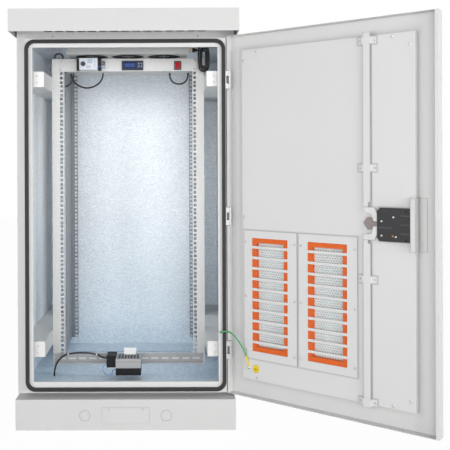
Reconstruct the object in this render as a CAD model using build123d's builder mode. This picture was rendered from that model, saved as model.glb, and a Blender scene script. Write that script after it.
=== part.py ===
import math
import os
from build123d import *

os.makedirs("parts", exist_ok=True)

# sheet metal and shared clearances
sheet = 1.5
rail_sheet = 2.0
slide_gap = 0.4
foil_thickness = 14.5

# nineteen inch rack that the body is built around
rack_unit_height = 44.45
rack_hole = 9.5
rack_hole_x = 232.55
rack_hole_inset = 6.35
rack_hole_pitch = 15.875
rail_hole_inset = 7.55
rail_width = 40.0
rail_inner = rack_hole_x - rail_hole_inset
rail_outer = rail_inner + rail_width
rail_return = 40.0
side_space = 75.0

# body outline, origin at the centre of the plinth on the ground
body_half = rail_outer + side_space + foil_thickness + sheet
body_top = 1336.5
plinth_inset = 5.0
plinth_half = body_half - plinth_inset
plinth_back = 355.0
plinth_front = -plinth_back
plinth_top = 98.0
plinth_sheet = 2.0
plinth_flange = 60.0
plinth_sill = 101.0
plinth_sill_front = 155.0
plinth_sill_back = 105.0
plinth_opening_half = plinth_half - plinth_sill
plinth_opening_front = plinth_front + plinth_sill_front
plinth_opening_back = plinth_back - plinth_sill_back
anchor_inset_x = 31.0
anchor_inset_y = 35.0
anchor_spacing_x = 2 * (plinth_half - anchor_inset_x)
anchor_spacing_y = 2 * (plinth_back - anchor_inset_y)
anchor_radius = 7.0
knockout_x = 130.0
knockout_drop = 51.0
knockout_z = plinth_top - knockout_drop
knockout_radius = 17.8
knockout_score = 1.6
access_half = 76.0
access_height = 52.5
access_drop = 25.5
access_top = plinth_top - access_drop
access_bottom = access_top - access_height
access_lap = 6.0
access_screw_inset = 21.4
access_screw_x = access_half - access_screw_inset
access_screw_radius = 2.6
access_screw_height = 1.2
cap_overhang = 8.0
cap_eave = 30.0
cap_lap = 10.0
cap_skirt = 69.5
cap_half = body_half + cap_overhang
cap_front = plinth_front - cap_eave
cap_back = plinth_back + cap_lap
cap_bottom = body_top - cap_skirt

# front frame with its raised collar
frame_setback = 40.0
frame_front = plinth_front + frame_setback
collar_depth = 32.2
collar_inset = 30.0
collar_lift = 12.0
collar_drop = 81.5
collar_width = 26.0
collar_sill = 33.0
collar_head = 29.0
collar_half = body_half - collar_inset
collar_bottom = plinth_top + collar_lift
collar_top = body_top - collar_drop
opening_half = collar_half - collar_width
opening_bottom = collar_bottom + collar_sill
opening_top = collar_top - collar_head
lip_depth = 12.0
shell_front = frame_front + collar_depth
shell_back = plinth_back
wall_in = body_half - sheet
seal_inset = 2.0
seal_inset_bottom = 4.0
seal_inset_top = 4.5
seal_outer_half = collar_half - seal_inset
seal_outer_bottom = collar_bottom + seal_inset_bottom
seal_outer_top = collar_top - seal_inset_top
seal_width = 11.5
seal_height = 10.0
seal_corner = 32.0
header_inset = 28.0
header_lift = 2.0
header_height = 35.0
header_half = opening_half - header_inset
header_bottom = collar_top + header_lift
header_top = header_bottom + header_height
header_thickness = 3.0
vent_pitch = 36.0
vent_count = int(2 * header_half / vent_pitch)
vent_width = 26.0
vent_height = 6.0
vent_drop = 8.0
vent_z = header_top - vent_drop
stud_radius = 3.0
stud_height = 1.5
stud_inset = 34.0
stud_lift = 9.0
stud_x = header_half - stud_inset
stud_z = header_bottom + stud_lift

# inner lining, floor and ceiling
floor_lift = 16.0
floor_top = plinth_top + floor_lift
ceiling_bottom = header_bottom
liner_back = shell_back - sheet - foil_thickness
liner_half = wall_in - foil_thickness
slot_inset = 114.0
slot_setback = 146.0
slot_half = liner_half - slot_inset
slot_y = liner_back - slot_setback
slot_width = 14.0

# rack rails, as many units as fit under the fan tray
tray_height = 36.0
tray_bottom = ceiling_bottom - tray_height
rail_lift = 5.0
rail_bottom = opening_bottom + rail_lift
rack_unit_count = int((tray_bottom - rail_bottom) / rack_unit_height)
rail_top = rail_bottom + rack_unit_count * rack_unit_height
rail_setback = 196.0
rail_front = frame_front + rail_setback
rear_rail_gap = 39.0
rear_rail_front = liner_back - rear_rail_gap
rear_web_inset = 14.0
rear_web_x = rail_outer - rear_web_inset
rear_web_depth = 170.0

# depth members that carry the rails
support_setback = 18.0
support_front = frame_front + support_setback
support_height = 50.0
support_lift = 72.0
support_drop = 114.8
support_low = rail_bottom + support_lift
support_high = rail_top - support_drop
support_rivet_radius = 3.0
support_rivet_height = 1.2
support_rivet_gap = 22.0
support_rivet_inset = 23.0
support_rivet_x = rail_outer + support_rivet_inset

# bottom cross bar and hat rail
bar_inset = 3.0
bar_half = rail_outer - bar_inset
bar_lift = 4.0
bar_bottom = rail_bottom + bar_lift
bar_height = 36.0
hat_inset = 4.0
hat_half = bar_half - hat_inset
hat_height = 35.0
hat_base = 25.0
hat_depth = 7.5
hat_sheet = 1.0
hat_slot = 25.0
hat_slot_height = 6.3
hat_slot_pitch = 36.0
hat_slot_count = int(2 * hat_half / hat_slot_pitch)

# fan tray
fan_count = 3
fan_gap = 6.0
tray_gap = 20.0
tray_half = rail_inner - tray_gap
tray_margin = 16.0
fan_pitch = 2 * (tray_half - tray_margin) / fan_count
fan_side = fan_pitch - fan_gap
fan_depth = 25.0
fan_rim = 3.0
fan_bore = fan_side / 2 - fan_rim
fan_hub = 22.0
fan_corner = 6.0
tray_rim = 15.0
tray_overhang = 71.0
tray_front = rail_front - tray_overhang
tray_back = tray_front + fan_side + 2 * tray_rim
fan_y = (tray_front + tray_back) / 2
tray_slot_inset = 13.0
tray_slot_length = 54.0
tray_slot_height = 5.0
tray_slot_drop = 3.0
tray_slot_left = -tray_half + tray_slot_inset
tray_slot_right = tray_slot_left + tray_slot_length
tray_slot_top = ceiling_bottom - tray_slot_drop
tray_slot_bottom = tray_slot_top - tray_slot_height
strut_width = 5.0
strut_height = 3.0
rotor_hub = 20.0
rotor_gap = 1.0
rotor_shaft = 4.0
rotor_height = 16.0
blade_tip_gap = 3.0
blade_tip = fan_bore - blade_tip_gap
blade_thickness = 2.0
blade_count = 5
blade_tilt = 35.0
blade_chord = 18.0

# control panel in the top rack unit
panel_ear = 8.75
panel_half = rack_hole_x + panel_ear
panel_height = 43.6
panel_tray_gap = 10.0
panel_tray_half = rail_inner - panel_tray_gap
panel_depth = 130.0
panel_side = 40.0
panel_bottom = rail_top - rack_unit_height + slide_gap
module_inset = 64.3
module_left = -panel_half + module_inset
module_width = 85.0
module_lift = 1.75
module_height = 40.5
module_stand = 39.0
module_rim = 11.0
module_right = module_left + module_width
module_bottom = panel_bottom + module_lift
module_top = module_bottom + module_height
module_front = rail_front - module_stand
module_face_left = module_left + module_rim
module_face_right = module_right - module_rim
knob_inset = 25.0
knob_lift = 20.0
knob_x = module_left + knob_inset
knob_z = module_bottom + knob_lift
knob_radius = 8.0
knob_height = 6.0
controller_left = -21.0
controller_width = 75.0
controller_lift = 3.25
controller_height = 33.0
controller_right = controller_left + controller_width
controller_bottom = panel_bottom + controller_lift
controller_top = controller_bottom + controller_height
controller_depth = 6.0
display_inset = 8.0
display_width = 41.0
display_height = 19.0
display_left = controller_left + display_inset
display_right = display_left + display_width
display_bottom = controller_bottom + display_inset
display_top = display_bottom + display_height
display_depth = 0.8
key_gap = 7.0
key_left = display_right + key_gap
key_pitch = 10.0
key_lift = 10.0
key_low = controller_bottom + key_lift
key_size = 6.0
key_stand = 2.0
rocker_inset = 55.3
rocker_width = 25.0
rocker_right = panel_half - rocker_inset
rocker_left = rocker_right - rocker_width
rocker_lift = 4.25
rocker_height = 30.0
rocker_bottom = panel_bottom + rocker_lift
rocker_top = rocker_bottom + rocker_height
rocker_depth = 5.0
rocker_rim = 3.0
rocker_stand = 3.0
rocker_crown = 2.5
rocker_pivot = 4.0
rocker_tilt = 8.0
panel_screw_radius = 4.5
panel_screw_height = 3.0

# heater on the hat rail
heater_left = -41.0
heater_width = 85.0
heater_lift = 6.0
heater_height = 30.5
heater_reach = 79.5
heater_right = heater_left + heater_width
heater_bottom = bar_bottom + heater_lift
heater_top = heater_bottom + heater_height
heater_fan_height = 24.0
heater_fan_bottom = heater_bottom - heater_fan_height
heater_slot_count = 7
heater_slot_pitch = 10.5
heater_slot_width = 5.5
heater_slot_length = 56.0
heater_bore = 35.0
heater_hub = 14.0
heater_tip_gap = 2.0
heater_tip = heater_bore - heater_tip_gap
block_width = 32.0
block_lift = 4.0
block_height = 39.0
block_reach = 63.5
block_left = heater_left - block_width
block_bottom = bar_bottom + block_lift
block_top = block_bottom + block_height
clip_inset = 25.0
clip_width = 41.0
clip_height = 22.5
clip_left = heater_left + clip_inset
clip_right = clip_left + clip_width
clip_top = heater_top + clip_height
clip_depth = 14.0

# door leaf, hinged on the right and standing open
door_open = 140.8
axis_side = 17.0
axis_x = body_half - axis_side
axis_inset = 10.2
door_edge = 6.0
door_lap = 2.0
door_lap_bottom = 6.0
door_lap_top = 7.0
door_width = 2 * axis_x + door_lap
door_bottom = collar_bottom - door_lap_bottom
door_top = collar_top + door_lap_top
door_rise = 8.0
door_fall = 22.0
door_lip = 9.0
notch_depth = 13.5
lock_drop = 6.0
lock_middle = (door_bottom + door_top) / 2 - lock_drop
hinge_inset_top = 142.0
hinge_inset_bottom = 139.0
hinge_heights = (door_top - hinge_inset_top, lock_middle, door_bottom + hinge_inset_bottom)
hinge_height = 58.0
hinge_outer = 16.5
hinge_play = 0.5
knuckle_radius = 4.2
pin_radius = 2.0
pin_play = 0.05
leaf_thickness = 2.0
leaf_front = 8.0
leaf_back = 12.0
arm_half = 3.0
door_leaf_out = 20.0
door_leaf_in = 6.0

# inner panel of the door
inner_inset_hinge = 47.0
inner_inset_free = 66.0
inner_inset_bottom = 57.0
inner_inset_top = 51.0
inner_left = inner_inset_hinge
inner_right = door_width - inner_inset_free
inner_bottom = door_bottom + inner_inset_bottom
inner_top = door_top - inner_inset_top
inner_face = -0.8
inner_sheet = 1.2

# lock case and edge angle
lock_inset = 11.0
lock_width = 96.0
lock_below = 48.0
lock_above = 46.0
lock_right = inner_right - lock_inset
lock_left = lock_right - lock_width
lock_bottom = lock_middle - lock_below
lock_top = lock_middle + lock_above
lock_thickness = 11.0
lock_chamfer = 9.0
lock_slot_length = 28.0
lock_slot_width = 5.0
lock_slot_depth = 1.5
lock_slot_pitch = 24.6
lock_rivet_radius = 3.0
lock_rivet_height = 1.0
lock_rivet_shares = ((0.50, 0.73), (0.14, 0.60), (0.14, 0.17), (0.57, 0.15))
lock_rivet_spots = [
    (lock_left + t * lock_width, lock_bottom + z * (lock_top - lock_bottom)) for t, z in lock_rivet_shares
]
angle_below = 74.0
angle_above = 75.0
angle_gap = 1.0
angle_flange = 13.0
angle_foot_width = 23.0
angle_low = lock_middle - angle_below
angle_high = lock_middle + angle_above
angle_left = lock_right + angle_gap
angle_upright = angle_left + angle_flange
angle_foot = angle_upright + angle_foot_width
angle_slot_inset = 11.0
angle_slot_t = angle_foot - angle_slot_inset
angle_slot_z = 50.0
angle_slot_length = 12.0
angle_slot_width = 5.0

# lock rods with their links and guides
rod_gap = 21.5
rod_width = 22.0
rod_right = lock_left - rod_gap
rod_left = rod_right - rod_width
rod_under = 3.0
rod_thickness = 4.0
rod_past_top = 11.0
rod_past_bottom = 10.0
rod_clear_above = 61.0
rod_clear_below = 57.0
upper_rod_bottom = lock_middle + rod_clear_above
upper_rod_top = inner_top + rod_past_top
lower_rod_bottom = inner_bottom - rod_past_bottom
lower_rod_top = lock_middle - rod_clear_below
tab_length = 28.0
tab_width = 13.0
link_thickness = 2.0
link_gap = 0.5
link_inset = 2.5
link_lift = 7.0
link_height = 40.0
link_left = rod_left + link_inset
link_right = lock_left - link_gap
link_shares = ((0, 0.66), (0, 1), (0.77, 1), (1, 0.55), (1, 0), (0.74, 0), (0.59, 0.53))
link_outline = [
    (link_left + t * (link_right - link_left), lock_middle + link_lift + z * link_height)
    for t, z in link_shares
]
link_pin_radius = 4.0
link_pin_height = 2.0
latch_under = 2.0
latch_thickness = 4.6
latch_inset = 1.0
latch_drop = 17.0
latch_height = 34.5
latch_left = rod_left + latch_inset
latch_low = lock_middle - latch_drop
latch_shares = ((0, 0.55), (0.27, 1), (0.63, 1), (0.70, 0.67), (1, 0.67), (1, 0), (0.30, 0))
latch_outline = [
    (latch_left + t * (link_right - latch_left), latch_low + z * latch_height) for t, z in latch_shares
]
guide_inset_top = 13.0
guide_inset_bottom = 6.0
guide_above = 158.0
guide_below = 160.0
guide_heights = (
    inner_top - guide_inset_top, lock_middle + guide_above,
    lock_middle - guide_below, inner_bottom + guide_inset_bottom,
)
guide_width = 22.0
guide_wing = 17.5
guide_left = rod_left - guide_wing
guide_right = rod_right + guide_wing
guide_leg = 1.2

# filter covers, side by side between the panel edge and the rod guides
cover_inset = 7.0
cover_gap = 5.5
cover_clear = 2.5
cover_lift = 67.0
cover_height = 408.0
cover_left = inner_left + cover_inset
cover_width = (guide_left - cover_clear - cover_left - cover_gap) / 2
cover_bottom = inner_bottom + cover_lift
cover_top = cover_bottom + cover_height
cover_thickness = 2.4
cover_starts = (cover_left, cover_left + cover_width + cover_gap)
cover_edges = [(start, start + cover_width) for start in cover_starts]
grille_inset_hinge = 30.5
grille_inset_free = 32.5
grille_inset_bottom = 25.0
grille_inset_top = 24.0
grille_edges = [(left + grille_inset_hinge, right - grille_inset_free) for left, right in cover_edges]
grille_bottom = cover_bottom + grille_inset_bottom
grille_top = cover_top - grille_inset_top
grille_count = 11
grille_bar = 8.0
filter_lap = 4.5
filter_border = 15.0
mat_thickness = 6.0
louvre_count = 9
louvre_height = 10.0

# screws and earth point on the inner panel
screw_radius = 4.5
screw_height = 2.0
inner_screw_edge = 8.0
inner_screw_free = 15.5
inner_screw_run = 54.0
inner_screw_far = 65.5
inner_screw_drop = 35.0
inner_screw_rise = 30.0
inner_screw_clear = 41.0
inner_screw_spots = (
    (inner_left + inner_screw_run, inner_top - inner_screw_edge),
    (inner_left + inner_screw_edge, inner_top - inner_screw_drop),
    (inner_right - inner_screw_far, inner_top - inner_screw_edge),
    (inner_right - inner_screw_free, inner_top - inner_screw_drop),
    (inner_left + inner_screw_edge, cover_top + inner_screw_clear),
    (inner_left + inner_screw_run, inner_bottom + inner_screw_edge),
    (inner_right - inner_screw_far, inner_bottom + inner_screw_edge),
    (inner_right - inner_screw_free, inner_bottom + inner_screw_rise),
)
cover_screw_radius = 3.5
cover_screw_inset = 8.0
cover_screw_lifts = (371.0, 198.0, 28.0)
cover_screw_heights = [cover_bottom + lift for lift in cover_screw_lifts]
earth_inset = 22.0
earth_lift = 36.0
earth_t = inner_left + earth_inset
earth_z = inner_bottom + earth_lift
earth_disc_gap = 28.0
earth_disc_t = earth_t + earth_disc_gap
earth_disc_radius = 12.5
earth_disc_height = 0.8
lug_radius = 6.0
lug_height = 3.0
escutcheon_inset = 43.0
escutcheon_t = lock_right - escutcheon_inset
escutcheon_half = 16.0
escutcheon_tall = 42.0
escutcheon_height = 5.0
keyhole_radius = 5.0

# spare cord and plug
hank_inset = 2.0
hank_width = 44.0
hank_drop = 95.0
hank_stand = 28.0
hank_x = rail_outer - hank_inset
hank_bottom = ceiling_bottom - hank_drop
hank_back = rail_front - hank_stand
hank_thick = 13.0
hank_deep = 18.0
plug_length = 17.0
plug_side = 14.0
plug_drop = 19.0
plug_z = ceiling_bottom - plug_drop
plug_pin_radius = 2.4
plug_pin_length = 12.0
plug_pin_gap = 7.0

# loose wiring, each with its radius and the points it passes
turn_share = 0.45
cable_radius = 3.0
earth_wire_radius = 2.5
wire_routes = (
    ("left_cable", cable_radius, (
        (-205.0, -60.0, 1170.75), (-205.0, -60.0, 1142.0), (-150.0, -60.0, 1112.0),
        (-92.0, -60.0, 1140.0), (-92.0, -60.0, 1170.75),
    )),
    ("right_cable", cable_radius, (
        (146.0, -60.0, 1170.75), (146.0, -60.0, 1143.0), (179.0, -60.0, 1128.0),
        (211.0, -60.0, 1143.0), (211.0, -60.0, 1170.75),
    )),
    ("heater_cable", cable_radius, (
        (-258.0, -141.0, 114.0), (-258.0, -141.0, 150.0), (-226.0, -139.0, 188.0),
        (-170.0, -137.0, 195.0), (-112.0, -137.0, 190.0), (-92.0, -141.0, 176.0), (-73.0, -141.0, 176.0),
    )),
    ("earth_wire", earth_wire_radius, (
        (305.5, -315.0, 304.0), (305.5, -334.0, 304.0), (318.0, -346.0, 314.0), (342.0, -351.0, 308.0),
        (374.0, -352.5, 264.0), (388.0, -352.5, 228.0), (391.3, -349.9, 202.8),
    )),
)


def block(x0, x1, y0, y1, z0, z1, mode=Mode.ADD):
    """Adds or cuts a box between two corners."""
    with BuildSketch(Plane.XY.offset(z0)) as outline:
        with Locations(((x0 + x1) / 2, (y0 + y1) / 2)):
            Rectangle(x1 - x0, y1 - y0)
    extrude(outline.sketch, amount=z1 - z0, mode=mode)


def slab(t0, t1, z0, z1, w0, w1, mode=Mode.ADD):
    """Adds or cuts a box given along the door, up it and through it."""
    with BuildSketch(door_plane.offset(w0)) as outline:
        with Locations(((t0 + t1) / 2, (z0 + z1) / 2)):
            Rectangle(t1 - t0, z1 - z0)
    extrude(outline.sketch, amount=w1 - w0, mode=mode)


def save(built, label):
    """Labels one finished piece and writes it out."""
    built.part.label = label
    export_step(built.part, f"parts/{label}.step")


axis_y = frame_front + axis_inset
swing = math.radians(door_open)
door_plane = Plane(
    origin=(axis_x, axis_y, 0),
    x_dir=(-math.cos(swing), -math.sin(swing), 0),
    z_dir=(-math.sin(swing), math.cos(swing), 0),
)
front_plane = Plane.XZ

# plinth with knock-outs, access opening and anchor flange
with BuildPart() as plinth:
    block(-plinth_half, plinth_half, plinth_front, plinth_back, 0, plinth_top)
    block(
        -plinth_half + plinth_sheet, plinth_half - plinth_sheet,
        plinth_front + plinth_sheet, plinth_back - plinth_sheet,
        plinth_sheet, plinth_top - plinth_sheet, Mode.SUBTRACT,
    )
    block(
        -plinth_half + plinth_flange, plinth_half - plinth_flange,
        plinth_front + plinth_flange, plinth_back - plinth_flange,
        0, plinth_sheet, Mode.SUBTRACT,
    )
    block(
        -plinth_opening_half, plinth_opening_half, plinth_opening_front, plinth_opening_back,
        plinth_top - plinth_sheet, plinth_top, Mode.SUBTRACT,
    )
    block(
        -access_half + access_lap, access_half - access_lap, plinth_front, plinth_front + plinth_sheet,
        access_bottom + access_lap, access_top - access_lap, Mode.SUBTRACT,
    )
    with BuildSketch(front_plane.offset(-plinth_front)):
        with Locations((-knockout_x, knockout_z), (knockout_x, knockout_z)):
            Circle(knockout_radius)
            Circle(knockout_radius - knockout_score, mode=Mode.SUBTRACT)
    extrude(amount=-knockout_score, mode=Mode.SUBTRACT)
    with BuildSketch(Plane.XY):
        with GridLocations(anchor_spacing_x, anchor_spacing_y, 2, 2):
            Circle(anchor_radius)
    extrude(amount=plinth_sheet, mode=Mode.SUBTRACT)
save(plinth, "plinth")

with BuildPart() as access_cover:
    block(
        -access_half, access_half, plinth_front - sheet, plinth_front, access_bottom, access_top,
    )
save(access_cover, "access_cover")

# welded body, open at the front, and its floor
ceiling_sheet = ceiling_bottom + foil_thickness
fan_spots = [(side * fan_pitch, fan_y) for side in (-1, 0, 1)]
with BuildPart() as body_shell:
    block(-body_half, -wall_in, shell_front + sheet, shell_back, plinth_top, body_top)
    block(wall_in, body_half, shell_front + sheet, shell_back, plinth_top, body_top)
    block(-wall_in, wall_in, shell_back - sheet, shell_back, plinth_top, body_top)
    block(-wall_in, wall_in, shell_front + sheet, shell_back - sheet, ceiling_sheet, ceiling_sheet + sheet)
    with BuildSketch(Plane.XY.offset(ceiling_sheet)):
        with Locations(fan_spots):
            Circle(fan_bore)
    extrude(amount=sheet, mode=Mode.SUBTRACT)
save(body_shell, "body_shell")

with BuildPart() as floor_plate:
    block(-wall_in, wall_in, shell_front + sheet, shell_back - sheet, plinth_top, plinth_top + sheet)
    block(
        -slot_half, slot_half, slot_y, slot_y + slot_width, plinth_top, plinth_top + sheet, Mode.SUBTRACT,
    )
save(floor_plate, "floor_plate")

# foil-faced lining
with BuildPart() as foil_lining:
    block(-wall_in, -liner_half, shell_front + sheet, liner_back, floor_top, ceiling_bottom)
    block(liner_half, wall_in, shell_front + sheet, liner_back, floor_top, ceiling_bottom)
    block(-wall_in, wall_in, liner_back, shell_back - sheet, floor_top, ceiling_bottom)
    block(-wall_in, wall_in, shell_front + sheet, shell_back - sheet, ceiling_bottom, ceiling_sheet)
    with BuildSketch(Plane.XY.offset(ceiling_bottom)):
        with Locations(fan_spots):
            Circle(fan_bore)
    extrude(amount=foil_thickness, mode=Mode.SUBTRACT)
save(foil_lining, "foil_lining")

with BuildPart() as floor_lining:
    block(-wall_in, wall_in, shell_front + sheet, shell_back - sheet, plinth_top + sheet, floor_top)
    block(
        -slot_half, slot_half, slot_y, slot_y + slot_width, plinth_top + sheet, floor_top, Mode.SUBTRACT,
    )
save(floor_lining, "floor_lining")

# front frame with the raised collar round the opening
with BuildPart() as front_frame:
    block(-body_half, body_half, shell_front, shell_front + sheet, plinth_top, body_top)
    block(
        -collar_half, collar_half, frame_front, shell_front, collar_bottom, collar_top,
    )
    block(
        -collar_half + sheet, collar_half - sheet, frame_front + sheet, shell_front + sheet,
        collar_bottom + sheet, collar_top - sheet, Mode.SUBTRACT,
    )
    block(
        -opening_half - sheet, opening_half + sheet, frame_front, frame_front + lip_depth,
        opening_bottom - sheet, opening_top + sheet,
    )
    block(
        -opening_half, opening_half, frame_front, shell_front + sheet,
        opening_bottom, opening_top, Mode.SUBTRACT,
    )
    with BuildSketch(front_plane.offset(-shell_front)):
        with Locations((0, vent_z)):
            with GridLocations(vent_pitch, 0, vent_count, 1):
                Rectangle(vent_width, vent_height)
    extrude(amount=-sheet, mode=Mode.SUBTRACT)
save(front_frame, "front_frame")

with BuildPart() as header_strip:
    block(
        -header_half, header_half, shell_front - header_thickness, shell_front, header_bottom, header_top,
    )
    with BuildSketch(front_plane.offset(-shell_front)):
        with Locations((0, vent_z)):
            with GridLocations(vent_pitch, 0, vent_count, 1):
                Rectangle(vent_width, vent_height)
    extrude(amount=header_thickness, mode=Mode.SUBTRACT)
save(header_strip, "header_strip")

seal_middle = (seal_outer_bottom + seal_outer_top) / 2
seal_tall = seal_outer_top - seal_outer_bottom
with BuildPart() as door_seal:
    with BuildSketch(front_plane.offset(-frame_front)):
        with Locations((0, seal_middle)):
            RectangleRounded(2 * seal_outer_half, seal_tall, seal_corner)
            RectangleRounded(
                2 * (seal_outer_half - seal_width), seal_tall - 2 * seal_width,
                seal_corner - seal_width, mode=Mode.SUBTRACT,
            )
    extrude(amount=seal_height)
save(door_seal, "door_seal")

# rain cap
with BuildPart() as roof_cap:
    block(-cap_half, cap_half, cap_front, cap_back, cap_bottom, body_top + sheet)
    block(
        -cap_half + sheet, cap_half - sheet, cap_front + sheet, cap_back - sheet,
        cap_bottom, body_top, Mode.SUBTRACT,
    )
    chamfer(roof_cap.edges().group_by(Axis.Z)[-1], sheet / 2)
save(roof_cap, "roof_cap")

# rack rails with three square holes in every unit
rack_heights = [
    rail_bottom + unit * rack_unit_height + rack_hole_inset + row * rack_hole_pitch
    for unit in range(rack_unit_count)
    for row in range(3)
]
with BuildPart() as front_rails:
    block(rail_inner, rail_outer, rail_front, rail_front + rail_sheet, rail_bottom, rail_top)
    block(
        rail_inner, rail_inner + rail_sheet, rail_front, rail_front + rail_return, rail_bottom, rail_top,
    )
    block(
        rail_outer - rail_sheet, rail_outer, rail_front, rail_front + rail_return, rail_bottom, rail_top,
    )
    with BuildSketch(front_plane.offset(-rail_front)):
        with Locations([(rack_hole_x, height) for height in rack_heights]):
            Rectangle(rack_hole, rack_hole)
    extrude(amount=-rail_sheet, mode=Mode.SUBTRACT)
    mirror(about=Plane.YZ)
save(front_rails, "front_rails")

with BuildPart() as rear_rails:
    block(
        rail_inner, rail_outer, rear_rail_front, rear_rail_front + rail_sheet, rail_bottom, rail_top,
    )
    block(
        rear_web_x - rail_sheet, rear_web_x, rear_rail_front - rear_web_depth, rear_rail_front,
        rail_bottom, rail_top,
    )
    with BuildSketch(front_plane.offset(-rear_rail_front)):
        with Locations([(rack_hole_x, height) for height in rack_heights]):
            Rectangle(rack_hole, rack_hole)
    extrude(amount=-rail_sheet, mode=Mode.SUBTRACT)
    mirror(about=Plane.YZ)
save(rear_rails, "rear_rails")

# four hollow depth members between lining and rails
with BuildPart() as rail_supports:
    for base in (support_low, support_high):
        block(rail_outer, liner_half, support_front, liner_back, base, base + support_height)
        block(
            rail_outer + rail_sheet, liner_half - rail_sheet, support_front + rail_sheet, liner_back,
            base + rail_sheet, base + support_height - rail_sheet, Mode.SUBTRACT,
        )
        block(
            collar_half - sheet, liner_half, support_front, shell_front + sheet,
            base, base + support_height, Mode.SUBTRACT,
        )
    mirror(about=Plane.YZ)
save(rail_supports, "rail_supports")

# cross bar and hat rail at the foot of the rack
bar_front = rail_front - rail_sheet
with BuildPart() as cross_bar:
    block(-bar_half, bar_half, bar_front, rail_front, bar_bottom, bar_bottom + bar_height)
save(cross_bar, "cross_bar")

hat_middle = bar_bottom + bar_height / 2
hat_front = bar_front - hat_depth
hat_low = hat_middle - hat_base / 2
hat_high = hat_middle + hat_base / 2
with BuildPart() as hat_rail:
    block(-hat_half, hat_half, bar_front - hat_sheet, bar_front, hat_low, hat_high)
    block(-hat_half, hat_half, hat_front, bar_front, hat_high - hat_sheet, hat_high)
    block(-hat_half, hat_half, hat_front, bar_front, hat_low, hat_low + hat_sheet)
    block(
        -hat_half, hat_half, hat_front, hat_front + hat_sheet,
        hat_high - hat_sheet, hat_middle + hat_height / 2,
    )
    block(
        -hat_half, hat_half, hat_front, hat_front + hat_sheet,
        hat_middle - hat_height / 2, hat_low + hat_sheet,
    )
    with BuildSketch(front_plane.offset(-bar_front)):
        with Locations((0, hat_middle)):
            with GridLocations(hat_slot_pitch, 0, hat_slot_count, 1):
                Rectangle(hat_slot, hat_slot_height)
    extrude(amount=hat_sheet, mode=Mode.SUBTRACT)
save(hat_rail, "hat_rail")

# fan tray with three fans
with BuildPart() as fan_tray:
    block(-tray_half, tray_half, tray_front, tray_back, tray_bottom, ceiling_bottom)
    block(
        -tray_half + sheet, tray_half - sheet, tray_front + sheet, tray_back - sheet,
        tray_bottom + sheet, ceiling_bottom, Mode.SUBTRACT,
    )
    with BuildSketch(Plane.XY.offset(tray_bottom)):
        with Locations(fan_spots):
            Circle(fan_bore)
    extrude(amount=sheet, mode=Mode.SUBTRACT)
    block(
        tray_slot_left, tray_slot_right, tray_front, tray_front + sheet,
        tray_slot_bottom, tray_slot_top, Mode.SUBTRACT,
    )
save(fan_tray, "fan_tray")

fan_base = tray_bottom + sheet
with BuildPart() as fan_frames:
    with BuildSketch(Plane.XY.offset(fan_base)):
        with Locations(fan_spots):
            RectangleRounded(fan_side, fan_side, fan_corner)
            Circle(fan_bore, mode=Mode.SUBTRACT)
    extrude(amount=fan_depth)
    with BuildSketch(Plane.XY.offset(fan_base)):
        with Locations(fan_spots):
            Circle(fan_hub)
            Rectangle(2 * fan_bore + strut_width, strut_width)
            Rectangle(strut_width, 2 * fan_bore + strut_width)
    extrude(amount=strut_height)
save(fan_frames, "fan_frames")

rotor_base = fan_base + strut_height + rotor_gap
blade_middle = (rotor_hub + blade_tip) / 2
blade_length = blade_tip - rotor_hub + blade_thickness
with BuildPart() as fan_rotor_middle:
    with BuildSketch(Plane.XY.offset(rotor_base)):
        with Locations((0, fan_y)):
            Circle(rotor_hub)
    extrude(amount=rotor_height)
    with BuildSketch(Plane.XY.offset(rotor_base)):
        with Locations((0, fan_y)):
            Circle(rotor_shaft)
    extrude(amount=-rotor_gap)
    with Locations((0, fan_y, rotor_base + rotor_height / 2)):
        with PolarLocations(blade_middle, blade_count):
            Box(blade_length, blade_chord, blade_thickness, rotation=(blade_tilt, 0, 0))
save(fan_rotor_middle, "fan_rotor_middle")

with BuildPart() as fan_rotor_left:
    add(fan_rotor_middle.part.moved(Location((-fan_pitch, 0, 0))))
save(fan_rotor_left, "fan_rotor_left")

with BuildPart() as fan_rotor_right:
    add(fan_rotor_middle.part.moved(Location((fan_pitch, 0, 0))))
save(fan_rotor_right, "fan_rotor_right")

# control panel and the devices on it
panel_front = rail_front - rail_sheet
rocker_hole_left = rocker_left + rocker_rim
rocker_hole_right = rocker_right - rocker_rim
rocker_hole_bottom = rocker_bottom + rocker_rim
rocker_hole_top = rocker_top - rocker_rim
with BuildPart() as control_panel:
    block(-panel_half, panel_half, panel_front, rail_front, panel_bottom, panel_bottom + panel_height)
    block(
        -panel_tray_half, panel_tray_half, rail_front, rail_front + panel_depth,
        panel_bottom, panel_bottom + sheet,
    )
    block(
        -panel_tray_half, -panel_tray_half + sheet, rail_front, rail_front + panel_depth,
        panel_bottom, panel_bottom + panel_side,
    )
    block(
        panel_tray_half - sheet, panel_tray_half, rail_front, rail_front + panel_depth,
        panel_bottom, panel_bottom + panel_side,
    )
    block(
        rocker_hole_left, rocker_hole_right, panel_front, rail_front,
        rocker_hole_bottom, rocker_hole_top, Mode.SUBTRACT,
    )
save(control_panel, "control_panel")

screw_low = rail_top - rack_unit_height + rack_hole_inset
screw_high = screw_low + 2 * rack_hole_pitch

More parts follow.
